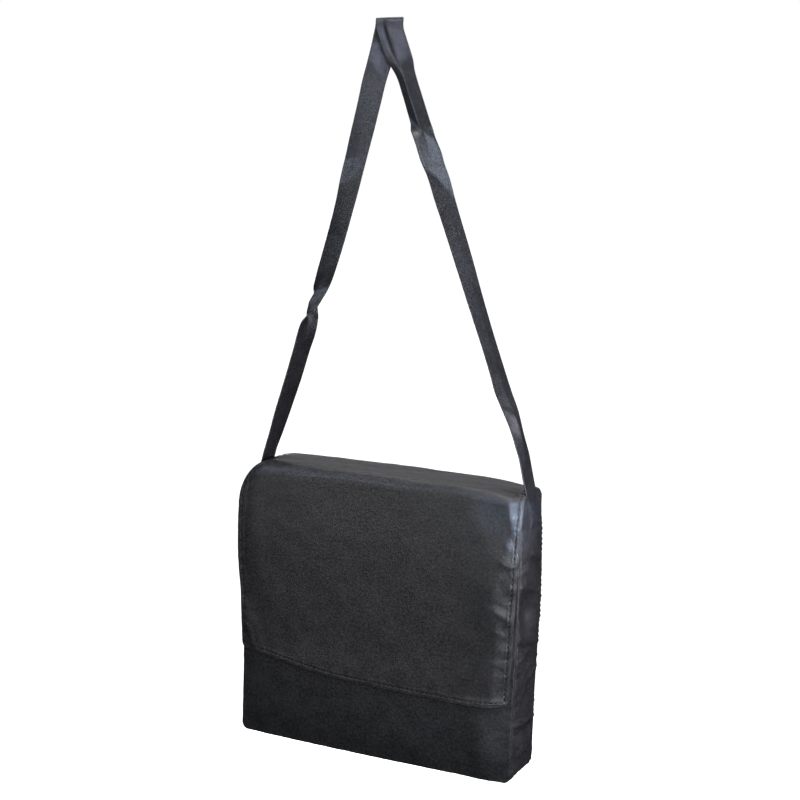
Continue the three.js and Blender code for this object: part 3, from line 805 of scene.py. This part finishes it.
def flap_front(x, z):
    """Place of the flap's outer face in front of the bag, up to the crest of its right margin."""
    off = LAY_GAP + CLOTH + np.zeros_like(x)
    for fold in rows_of(FLAP_FOLDS):
        off = off + soft_fold(x, z, fold)
    before = np.minimum(x - margin["crest"](z), 0) / RIDGE_INSIDE
    return front_face(x, z) - off - margin["high"](z) * np.exp(-(before**2))


def flap_margin(z):
    """The right margin at one height: its crest, the places across it and their runs from the crest."""
    at = {name: float(line(z)) for name, line in margin.items()}
    turn = np.linspace(0, pi / 2, MARGIN_STEPS + 1)
    reach = np.sin(turn)
    back = at["flat"] * reach + (1 - at["flat"]) * (1 - np.cos(turn))
    start = float(flap_front(np.array(at["crest"]), np.array(z)))
    x = at["crest"] + (at["edge_x"] - at["crest"]) * reach
    y = start + (at["edge_y"] - start) * back
    return at["crest"], x, y, run_lengths(np.stack([x, y], 1))


def flap_row(zone, run, share, level, across):
    """One row of the flap: its points, its places on the cloth, and its gaps to the sides and hem."""
    left = flap_edge["left"](run)
    right = flap_edge["right"](run)
    crest, margin_x, margin_y, along = flap_margin(level)
    wrapped = left + (crest + along[-1] - left) * across
    past = np.maximum(wrapped - crest, 0)
    x = np.where(past > 0, np.interp(past, along, margin_x), wrapped)
    flat = left + (right - left) * across
    wrap = float(between(run, *WRAP_RUNS))
    x = flat + (x - flat) * wrap
    place = flat + (wrapped - flat) * wrap
    top = flap_top(x)
    behind = back_face(x, -FLAP_LAP) + LAY_GAP + CLOTH
    radius = fold_radius(x)
    turn_down = top - radius
    ahead = np.where(past > 0, np.interp(past, along, margin_y), flap_front(wrapped, turn_down))
    turn = share * pi / 2
    side_gap = np.minimum(place - place[0], place[-1] - place)
    hem_gap = np.full_like(x, FAR_FROM_HEM)
    if zone == "lap":
        y = behind
        z = -FLAP_LAP + (top - FLAP_BACK_RADIUS + FLAP_LAP) * share
    elif zone == "back":
        y = behind - FLAP_BACK_RADIUS * (1 - cos(turn))
        z = top - FLAP_BACK_RADIUS * (1 - sin(turn))
    elif zone == "top":
        back_edge = behind - FLAP_BACK_RADIUS
        y = back_edge + (ahead + radius - back_edge) * share
        z = top
    elif zone == "fold":
        y = ahead + radius * (1 - sin(turn))
        z = top - radius * (1 - cos(turn))
    else:
        short = np.maximum(FLAP_CORNER - side_gap, 0)
        rounding = FLAP_CORNER - np.sqrt(FLAP_CORNER**2 - short**2)
        hem = flap_hem(x) + rounding
        z = turn_down + (hem - turn_down) * share
        y = np.where(past > 0, ahead, flap_front(x, z))
        hem_gap = z - hem
    return np.stack([x, y, z], 1), place, side_gap, hem_gap, np.full_like(x, run)


def flap():
    """The flap, from its seam on the back over the top and down the front to its hem."""
    across = shares(FLAP_WIDTH, FLAP_STEP, HEM_OFFSETS, HEM_OFFSETS)
    corner = float(flap_top(FLAP_RIGHT) - fold_radius(FLAP_RIGHT))
    lowest = float(flap_hem(FLAP_HEM_RIGHT))
    rows = []
    for zone, start, end, length, step in FLAP_ZONES:
        front = zone == "front"
        parts = shares(length, step, (), HEM_OFFSETS) if front else shares(length, step)[:-1]
        for share in parts:
            run = start + (end - start) * share
            level = corner + (lowest - corner) * share if front else corner
            rows.append(flap_row(zone, run, share, level, across))
    outer, place, side_gap, hem_gap, run = (np.array(values) for values in zip(*rows))
    x, y, z = np.moveaxis(outer, 2, 0)
    past = x - RISE_LINE - RISE_SLANT * y
    rise = RISE_SLOPE * (np.sqrt(past**2 + RISE_ROUND) + past - RISE_FLAT) / 2
    z += np.maximum(rise, 0) * between(z, *RISE_HEIGHTS) * between(y, *RISE_DEPTHS)
    from_edge = np.minimum(side_gap, hem_gap)
    from_stitches = from_edge - HEM_STITCH_IN
    beside = np.where(side_gap < hem_gap, run, x)
    raised = HEM_RAISE * (1 - between(from_edge, *HEM_STEP))
    lift = raised - HEM_GROOVE * np.exp(-((from_stitches / HEM_GROOVE_HALF) ** 2))
    lift = lift + crumple(FLAP_CRUMPLE, 41, place, run, beside, from_edge, from_stitches)
    lumps = soft_noise(seed=44, cell=LUMP_CELL)
    near_right = between(place, *LUMP_PLACES) * between(run, *LUMP_RUNS)
    lift = lift + LUMP_HIGH * near_right * lumps(place, run)
    on_front = between(run, *CREASE_RUNS)
    for fold in rows_of(FLAP_CREASES):
        lift = lift - on_front * crease(place, z, fold)
    streaks = soft_noise(seed=45, cell=STREAK_CELL)
    on_top = between(run, *STREAK_START) * between(run, *STREAK_END)
    lift = lift + STREAK_HIGH * on_top * streaks((x + STREAK_SLANT * run) * STREAK_STRETCH, run)
    free = SEWN_SHARE + (1 - SEWN_SHARE) * between(run, *SEWN_RUNS)
    outer = outer + normals(outer) * (lift * free)[..., None]
    piece = closed_sheet("flap_cloth", outer, CLOTH * FLAP_THIN + HEM_THICK * raised, place, run)
    return piece, outer, side_gap, hem_gap


flap_piece, flap_grid, flap_side_gap, flap_hem_gap = flap()


def strap_section(middle, width, face, crease_at, fold, across, gather=1.0):
    """One cross-section of the strap's middle surface, creased lengthwise."""
    half = radians(fold / 2)
    wide = STRAP_WIDTH * gather
    near = wide * crease_at
    shift = (2 * near - wide) * 0.5 * cos(half)
    lift = wide * 0.25 * sin(half)
    from_crease = across * gather + wide / 2 - near
    bent = np.sqrt(from_crease**2 + FOLD_ROUND) - FOLD_FLAT
    sideways = shift + from_crease * cos(half)
    up = lift - bent * sin(half)
    return middle + np.outer(sideways, width) + np.outer(up, face)


def leg_rows(table, side, across):
    """The rows of one leg of the strap, from its top down to where it is free of the bag."""
    lines = curves(table, "drop")
    first = table["drop"][0]
    last = table["drop"][-1]
    rows = []
    for drop in np.linspace(first, last, round((last - first) / STRAP_STEP) + 1):
        at = {"crease": 0.5} | {name: float(line(drop)) for name, line in lines.items()}
        turn = radians(at["turn"])
        middle = np.array((at["x"] - HANG_OFFSET, at["y"], HANG_HEIGHT - drop))
        width = np.array((cos(turn), sin(turn), 0))
        face = np.array((side * sin(turn), -side * cos(turn), 0))
        row = strap_section(middle, width, face, at["crease"], at["fold"], across, at["gather"])
        stand = np.zeros_like(across)
        for bend in rows_of(STRAP_BENDS, leg=side):
            past = drop - bend["drop"] - bend["slant"] * across
            reach = np.where(past < 0, bend["above"], bend["below"])
            tent = np.sqrt((past / reach) ** 2 + BEND_ROUND) - BEND_FLAT
            stand = stand + (bend["high"] + bend["lean"] * across) * np.maximum(1 - tent, 0)
        if side > 0:
            beside = (across - groove["across"](drop)) / GROOVE_HALF
            stand = stand - groove["deep"](drop) * np.exp(-(beside**2))
        rows.append(row + np.outer(stand, BEND_OUT))
    return rows


def seat_rows(side, across):
    """The end of a leg, seated on the gusset."""
    rows = []
    count = round((SEAT_ABOVE + STRAP_LAP) / STRAP_STEP) + 1
    for z in np.linspace(SEAT_ABOVE, -STRAP_LAP, count):
        lean = max(z + SEAT_LEAN_FROM, 0) * LEG_LEAN
        held = min(z, SEAT_HELD)
        seat = float(half_width(side, held)) + STRAP_SEAT_GAP + STRAP_THICK / 2 - lean
        over = gusset_inset(side, across, np.full_like(across, held))
        rows.append(np.stack([side * (seat - over), side * across, np.full_like(across, z)], 1))
    return rows


def peg_rows(across):
    """The turn over the hanging point."""
    turn = radians(PEG_TURN)
    width = np.array((cos(turn), sin(turn), 0))
    back = np.array((-sin(turn), cos(turn), 0))
    radius = PEG_RADIUS + STRAP_THICK / 2
    centre = np.array((-HANG_OFFSET, 0, HANG_HEIGHT + PEG_RAISE - PEG_FLAT * PEG_RADIUS))
    rows = []
    for angle in np.linspace(0, pi, PEG_ROWS):
        face = back * cos(angle) + np.array((0, 0, PEG_FLAT * sin(angle)))
        row = strap_section(centre + face * radius, width, face, 0.5, 0, across)
        row[:, 2] += PEG_TILT * across
        rows.append(row)
    return rows


def strap():
    """The shoulder strap, from its left end over the hanging point to its right end."""
    edge = STRAP_EDGE_OFFSETS
    step = STRAP_WIDTH / STRAP_COLUMNS
    across = STRAP_WIDTH * (shares(STRAP_WIDTH, step, edge, edge) - 0.5)
    left = (leg_rows(LEFT_LEG, -1, across) + seat_rows(-1, across))[::-1]
    right = leg_rows(RIGHT_LEG, 1, across) + seat_rows(1, across)
    middle = np.array(left + peg_rows(across) + right)
    for _ in range(STRAP_SMOOTHING):
        middle[1:-1] = 0.5 * middle[1:-1] + 0.25 * (middle[:-2] + middle[2:])
    along, across = np.meshgrid(run_lengths(middle[:, len(across) // 2]), across, indexing="ij")
    from_edge = STRAP_WIDTH / 2 - np.abs(across)
    from_line = from_edge - STRAP_LINE_IN
    swell = soft_noise(seed=51, cell=STRAP_SWELL_CELL)
    gathers = soft_noise(seed=52, cell=STRAP_GATHER_CELL)
    beside = along + OTHER_EDGE_STRAP * (across > 0)
    lift = STRAP_SWELL * swell(along, across)
    lift = lift + STRAP_GATHER * pucker(beside, from_line, gathers, STRAP_GATHER_REACH)
    lift = lift - STRAP_LINE_DEEP * np.exp(-((from_line / STRAP_LINE_HALF) ** 2))
    from_end = np.minimum(along, along[-1] - along)
    seated = 1 - between(from_end, *SEAT_ENDS)
    inner = ease(np.minimum(from_edge, from_end) / SEAT_THIN_REACH)
    thin = seated * SEAT_THIN * (1 - inner)
    stand = lift * (1 - SEAT_CALM * seated) + STRAP_THICK * (0.5 - thin)
    outer = middle + normals(middle) * stand[..., None]
    piece = closed_sheet("strap_cloth", outer, STRAP_THICK * (1 - thin), across, along)
    return piece, outer


strap_piece, strap_grid = strap()


def stitch_row(points, out):
    """Places, directions and normals of the stitches along a path on the cloth."""
    along = run_lengths(points)
    count = max(int(along[-1] // STITCH_PITCH), 1)
    where = (np.arange(count) + 0.5) * along[-1] / count

    def at(places, values):
        return np.stack([np.interp(places, along, values[:, k]) for k in range(3)], 1)

    heading = at(where + STITCH_LOOK, points) - at(where - STITCH_LOOK, points)
    return at(where, points), unit(heading), unit(at(where, out))


def stitches(name, paths):
    """Short arched threads along paths on the cloth."""
    rings = rows_of(STITCH_RINGS)
    sides = STITCH_SIDES
    last = (len(rings) - 1) * sides
    angles = np.arange(sides) * 2 * pi / sides
    points = []
    faces = []
    base = 0
    for path, out in paths:
        for centre, heading, normal in zip(*stitch_row(path, out)):
            sideways = np.cross(normal, heading)
            loop = np.outer(np.cos(angles), sideways) + np.outer(np.sin(angles), normal)
            for ring in rings:
                ahead = heading * ring["share"] * STITCH_LENGTH
                middle = centre + ahead + normal * ring["rise"] * STITCH_RADIUS
                points.append(middle + loop * ring["thick"] * STITCH_RADIUS)
            for here in range(base, base + last, sides):
                for k in range(sides):
                    after = (k + 1) % sides
                    faces.append((here + k, here + after, here + sides + after, here + sides + k))
            faces.append(tuple(base + k for k in reversed(range(sides))))
            faces.append(tuple(base + last + k for k in range(sides)))
            base += last + sides
    return mesh_object(name, np.concatenate(points), faces)


def across_path(grid, places, wanted, rows):
    """The path where the places along each row, from its start, pass a wanted one."""
    out = normals(grid)
    points = []
    directions = []
    for r in rows:
        c = np.interp(wanted, places[r], np.arange(len(places[r])))
        low = min(int(c), len(places[r]) - 2)
        t = c - low
        points.append(grid[r, low] * (1 - t) + grid[r, low + 1] * t)
        directions.append(out[r, low] * (1 - t) + out[r, low + 1] * t)
    return np.array(points), np.array(directions)


def flap_stitch_paths():
    """The hem's stitches on both sides and along the bottom, and two rows on the seam at the back."""
    cols = flap_grid.shape[1]
    middle = cols // 2
    end = int(np.argmin(np.abs(flap_hem_gap[:, middle] - HEM_STITCH_IN)))
    side_rows = range(HEM_STITCH_START, end + 1)
    gap = flap_side_gap
    left = across_path(flap_grid[:, :middle], gap[:, :middle], HEM_STITCH_IN, side_rows)
    mirrored = flap_grid[:, :middle:-1]
    right, inward = across_path(mirrored, gap[:, :middle:-1], HEM_STITCH_IN, side_rows)
    turned = flap_grid[::-1].transpose(1, 0, 2)
    inside = [c for c in range(cols) if gap[end, c] >= HEM_STITCH_IN]
    bottom = across_path(turned, flap_hem_gap[::-1].T, HEM_STITCH_IN, inside)
    out = normals(flap_grid)
    seams = [(flap_grid[r, SEAM_STITCH_INSIDE], out[r, SEAM_STITCH_INSIDE]) for r in SEAM_STITCH_ROWS]
    return [left, (right, -inward), bottom] + seams


def gusset_stitch_paths():
    """A row of stitches along the back edge of the gusset."""
    out = normals(gusset_grid)
    column = int(np.argmin(np.abs(gusset_y - HALF_STRIP + SEAM_STITCH_IN)))
    return [(gusset_grid[STITCH_INSIDE, column], out[STITCH_INSIDE, column])]


def strap_stitch_paths():
    """Two short rows of stitches across each end of the strap."""
    out = normals(strap_grid)
    return [(strap_grid[r, STITCH_INSIDE], out[r, STITCH_INSIDE]) for r in STRAP_STITCH_ROWS]


flap_stitches = stitches("flap_stitches", flap_stitch_paths())
gusset_stitches = stitches("gusset_stitches", gusset_stitch_paths())
strap_stitches = stitches("strap_stitches", strap_stitch_paths())

# The cloth's patterns by their cells in a metre, and the depth of each one's relief in metres
BOND_SCALE = 640.0
BOND_UNEVEN = 0.06
BOND_TURN = radians(45)
FIBRE_SCALE = 950.0
FELT_SCALE = 300.0
CLOUD_SCALE = 42.0
BOND_DEPTH = 0.00018
FIBRE_DEPTH = 0.00022
FELT_DEPTH = 0.0006
CLOTH_RELIEF = 0.45
CLOTH_SPECULAR = 0.34
CLOUD_SHARE = 0.35
BOND_EDGE = (0.2, 0.42)
TONE_RANGE = (0.48, 0.88)
NOISE_RANGE = (0.3, 0.7)
THREAD_SCALE = 2200.0
THREAD_DEPTH = 0.0001
THREAD_RELIEF = 0.5
THREAD_SPECULAR = 0.2
THREAD_ROUGH = (0.6, 0.8)
# Each slot's cloth: the material's name, its dark and light tones and its range of roughness
CLOTHS = {
    "body_cloth": ("nonwoven_body", (0.0068, 0.0069, 0.0071), (0.0225, 0.0226, 0.0228), (0.36, 0.46)),
    "flap_cloth": ("nonwoven_flap", (0.0075, 0.0074, 0.0073), (0.0250, 0.0248, 0.0245), (0.34, 0.44)),
    "strap_cloth": ("nonwoven_strap", (0.0080, 0.0080, 0.0083), (0.0225, 0.0225, 0.0230), (0.29, 0.37)),
}


class Nodes:
    """A short way to add and join the nodes of one material."""

    def __init__(self, name):
        self.material = bpy.data.materials.new(name)
        self.material.use_nodes = True
        self.tree = self.material.node_tree
        self.tree.nodes.clear()

    def add(self, kind, inputs=None, **settings):
        node = self.tree.nodes.new(kind)
        for key, value in settings.items():
            setattr(node, key, value)
        for key, value in (inputs or {}).items():
            if isinstance(value, bpy.types.NodeSocket):
                self.tree.links.new(value, node.inputs[key])
            else:
                node.inputs[key].default_value = value
        return node

    def noise(self, place, scale, detail, roughness):
        inputs = {"Vector": place, "Scale": scale, "Detail": detail, "Roughness": roughness}
        return self.add("ShaderNodeTexNoise", inputs).outputs["Fac"]

    def finish(self, looks, specular):
        shader = self.add("ShaderNodeBsdfPrincipled", {**looks, "Specular IOR Level": specular})
        self.add("ShaderNodeOutputMaterial", {"Surface": shader.outputs["BSDF"]})
        return self.material


def ramp(nodes, factor, low, high, start=0.0, end=1.0):
    """A value that goes from start to end as a factor goes from low to high."""
    inputs = {"Value": factor, "From Min": low, "From Max": high, "To Min": start, "To Max": end}
    return nodes.add("ShaderNodeMapRange", inputs).outputs["Result"]


def nonwoven(name, dark, light, rough):
    """Spun-bonded cloth: a lattice of pressed points in a fine felt of fibres, a little cloudy."""
    nodes = Nodes(name)
    cloth = nodes.add("ShaderNodeUVMap", uv_map="cloth").outputs["UV"]
    turned = nodes.add("ShaderNodeMapping", {"Vector": cloth, "Rotation": (0, 0, BOND_TURN)})
    points = nodes.add(
        "ShaderNodeTexVoronoi",
        {"Vector": turned.outputs["Vector"], "Scale": BOND_SCALE, "Randomness": BOND_UNEVEN},
        voronoi_dimensions="2D",
        feature="F1",
    )
    pressed = ramp(nodes, points.outputs["Distance"], *BOND_EDGE)
    fibre = nodes.noise(cloth, FIBRE_SCALE, 3.0, 0.6)
    felt = nodes.noise(cloth, FELT_SCALE, 3.0, 0.55)
    cloud = nodes.noise(cloth, CLOUD_SCALE, 4.0, 0.6)
    shade = nodes.add("ShaderNodeMath", {0: cloud, 1: CLOUD_SHARE, 2: felt}, operation="MULTIPLY_ADD")
    tone = ramp(nodes, shade.outputs["Value"], *TONE_RANGE)
    tones = {"Factor": tone, 6: (*dark, 1.0), 7: (*light, 1.0)}
    colour = nodes.add("ShaderNodeMix", tones, data_type="RGBA")
    rough_value = ramp(nodes, cloud, *NOISE_RANGE, *rough)
    relief = {}
    for height, depth in ((pressed, BOND_DEPTH), (fibre, FIBRE_DEPTH), (felt, FELT_DEPTH)):
        bump = {"Strength": CLOTH_RELIEF, "Distance": depth, "Height": height, **relief}
        relief = {"Normal": nodes.add("ShaderNodeBump", bump).outputs["Normal"]}
    looks = {"Base Color": colour.outputs[2], "Roughness": rough_value, **relief}
    return nodes.finish(looks, CLOTH_SPECULAR)


def thread(name, colour):
    """Twisted sewing thread."""
    nodes = Nodes(name)
    place = nodes.add("ShaderNodeTexCoord").outputs["Object"]
    twist = nodes.noise(place, THREAD_SCALE, 2.0, 0.5)
    relief = {"Strength": THREAD_RELIEF, "Distance": THREAD_DEPTH, "Height": twist}
    bump = nodes.add("ShaderNodeBump", relief)
    rough = ramp(nodes, twist, *NOISE_RANGE, *THREAD_ROUGH)
    looks = {"Base Color": (*colour, 1.0), "Roughness": rough, "Normal": bump.outputs["Normal"]}
    return nodes.finish(looks, THREAD_SPECULAR)


cloths = {slot: nonwoven(*look) for slot, look in CLOTHS.items()}
seam_thread = thread("black_thread", (0.003, 0.003, 0.0032))

for piece, node, slot, flat, held, rests_on, extra in (
    (front_panel, "front_panel", "body_cloth", (0.362, 0.335), "hung", ["gusset_cloth"], []),
    (back_panel, "back_panel", "body_cloth", (0.362, 0.340), "hung", ["gusset_cloth"], []),
    (gusset_piece, "gusset", "body_cloth", (0.073, 1.030), "hung", ["strap_cloth"], [gusset_stitches]),
    (flap_piece, "flap", "flap_cloth", (0.375, 0.360), "draped", ["back_panel_cloth"], [flap_stitches]),
    (strap_piece, "strap", "strap_cloth", (0.030, 1.225), "hung", [], [strap_stitches]),
):
    piece.data.materials.append(cloths[slot])
    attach(piece, "root")
    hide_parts(node)
    for sewn in extra:
        sewn.data.materials.append(seam_thread)
        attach(sewn, "root")

# The camera at the photograph's viewing angle
CAMERA_AZIMUTH = radians(25.08)
CAMERA_ELEVATION = radians(8.81)
CAMERA_ROLL = radians(1.648)
CAMERA_PLACE = (0.7733, -1.5949, -0.1679)
FOCAL_PIXELS = 1500.229
PHOTO_PIXELS = 800.0
SENSOR = 36.0
camera_data = bpy.data.cameras.new("camera")
camera_data.sensor_width = SENSOR
camera_data.lens = FOCAL_PIXELS * SENSOR / PHOTO_PIXELS
camera = add_object("camera", camera_data)
level = cos(CAMERA_ELEVATION)
sideways = sin(CAMERA_AZIMUTH) * level
forward = -cos(CAMERA_AZIMUTH) * level
toward = np.array((sideways, forward, sin(CAMERA_ELEVATION)))
flat_right = np.array((cos(CAMERA_AZIMUTH), sin(CAMERA_AZIMUTH), 0.0))
flat_up = np.cross(toward, flat_right)
right_axis = flat_right * cos(CAMERA_ROLL) + flat_up * sin(CAMERA_ROLL)
up_axis = flat_up * cos(CAMERA_ROLL) - flat_right * sin(CAMERA_ROLL)
matrix = Matrix.Identity(4)
for k, axis in enumerate((right_axis, up_axis, toward, CAMERA_PLACE)):
    matrix.col[k] = (*axis, matrix[3][k])
camera.matrix_world = matrix
bpy.context.scene.camera = camera


def soft_box(name, place, aim, size, power, colour, spread=180.0):
    """An area light aimed at one place."""
    data = bpy.data.lights.new(name, "AREA")
    data.shape = "RECTANGLE"
    data.size, data.size_y = size
    data.energy = power
    data.color = colour
    data.spread = radians(spread)
    light = add_object(name, data)
    light.location = place
    light.rotation_mode = "QUATERNION"
    light.rotation_quaternion = (Vector(aim) - Vector(place)).to_track_quat("-Z", "Y")
    light.visible_camera = False


# The studio's soft lights, the places they are aimed at, and the one narrow light
BAG_MIDDLE = (0.0175, 0.0, -0.68)
FLAP_UPPER = (0.0175, -0.04, -0.51)
STRAP_MIDDLE = (0.0, 0.0, -0.2)
STRAP_TOP = (-0.02, 0.0, -0.06)
FLAP_SIDE = (0.197, -0.036, -0.536)
NARROW = 6.0
soft_box("flap_box", (-0.30, -0.92, -0.57), FLAP_UPPER, (0.8, 0.15), 2.1, (1.0, 0.97, 0.94))
soft_box("top_box", (-0.24, 0.72, 0.39), FLAP_UPPER, (0.8, 0.3), 3.0, (1.0, 0.98, 0.97))
soft_box("key_box", (0.1, -0.65, 0.12), BAG_MIDDLE, (0.6, 0.4), 1.4, (0.84, 0.86, 1.0))
soft_box("left_box", (-0.45, -0.8, 0.05), STRAP_MIDDLE, (0.3, 0.3), 3.1, (0.8, 0.87, 1.0))
soft_box("left_far_box", (-0.69, -0.24, 0.08), STRAP_MIDDLE, (0.25, 0.25), 1.45, (0.68, 0.78, 1.0))
soft_box("strap_box", (0.26, -0.64, 0.35), STRAP_TOP, (0.25, 0.25), 4.3, (0.67, 0.74, 1.0))
soft_box("overhead_box", (0.0, -0.15, 2.2), BAG_MIDDLE, (2.7, 2.3), 26, (0.96, 0.94, 1.0))
soft_box("front_right_box", (0.72, -0.72, -0.55), BAG_MIDDLE, (0.3, 0.4), 9.8, (0.87, 0.9, 1.0))
soft_box("corner_box", (0.62, -0.6, -0.53), FLAP_SIDE, (0.08, 0.1), 0.058, (0.42, 0.66, 1.0), NARROW)
soft_box("right_box", (0.95, -0.1, -0.5), BAG_MIDDLE, (0.4, 0.4), 9.2, (0.86, 0.83, 1.0))
soft_box("right_high_box", (0.595, 0.477, 0.3), STRAP_MIDDLE, (0.4, 0.4), 3.6, (0.7, 0.8, 1.0))
soft_box("back_box", (-0.6, 1.45, -0.16), BAG_MIDDLE, (2.0, 0.5), 1.7, (0.96, 0.95, 1.0))
soft_box("rear_box", (-0.9, 1.4, -0.95), BAG_MIDDLE, (1.0, 0.8), 20, (1.0, 1.0, 1.0))

SUN_POWER = 2.2
SUN_ANGLE = radians(30)
SUN_TILT = (radians(-6), radians(14), 0)
sun_data = bpy.data.lights.new("overhead_light", "SUN")
sun_data.energy = SUN_POWER
sun_data.angle = SUN_ANGLE
sun = add_object("overhead_light", sun_data)
sun.rotation_euler = SUN_TILT

# The pale floor
FLOOR_DROP = -1.45
FLOOR_SIZE = 40.0
FLOOR_CORNERS = ((-1, -1), (1, -1), (1, 1), (-1, 1))
floor_points = [(x * FLOOR_SIZE, y * FLOOR_SIZE, FLOOR_DROP) for x, y in FLOOR_CORNERS]
floor_mesh = bpy.data.meshes.new("floor")
floor_mesh.from_pydata(floor_points, [], [(0, 1, 2, 3)])
floor = add_object("floor", floor_mesh)
floor_looks = {
    "Base Color": (0.97, 0.97, 0.97, 1.0),
    "Emission Color": (1.0, 1.0, 1.0, 1.0),
    "Emission Strength": 0.5,
    "Roughness": 0.9,
}
floor_mesh.materials.append(Nodes("pale_floor").finish(floor_looks, 0.0))
floor.visible_diffuse = False
floor.visible_glossy = False

# Pale surroundings, which the camera sees and which light nothing
world = bpy.data.worlds.new("studio")
world.use_nodes = True
bpy.context.scene.world = world
glow = world.node_tree.nodes["Background"]
glow.inputs["Color"].default_value = (1.0, 1.0, 1.0, 1.0)
world.cycles_visibility.diffuse = False
world.cycles_visibility.glossy = False

view = bpy.context.scene.view_settings
view.view_transform = "Standard"
view.look = "None"
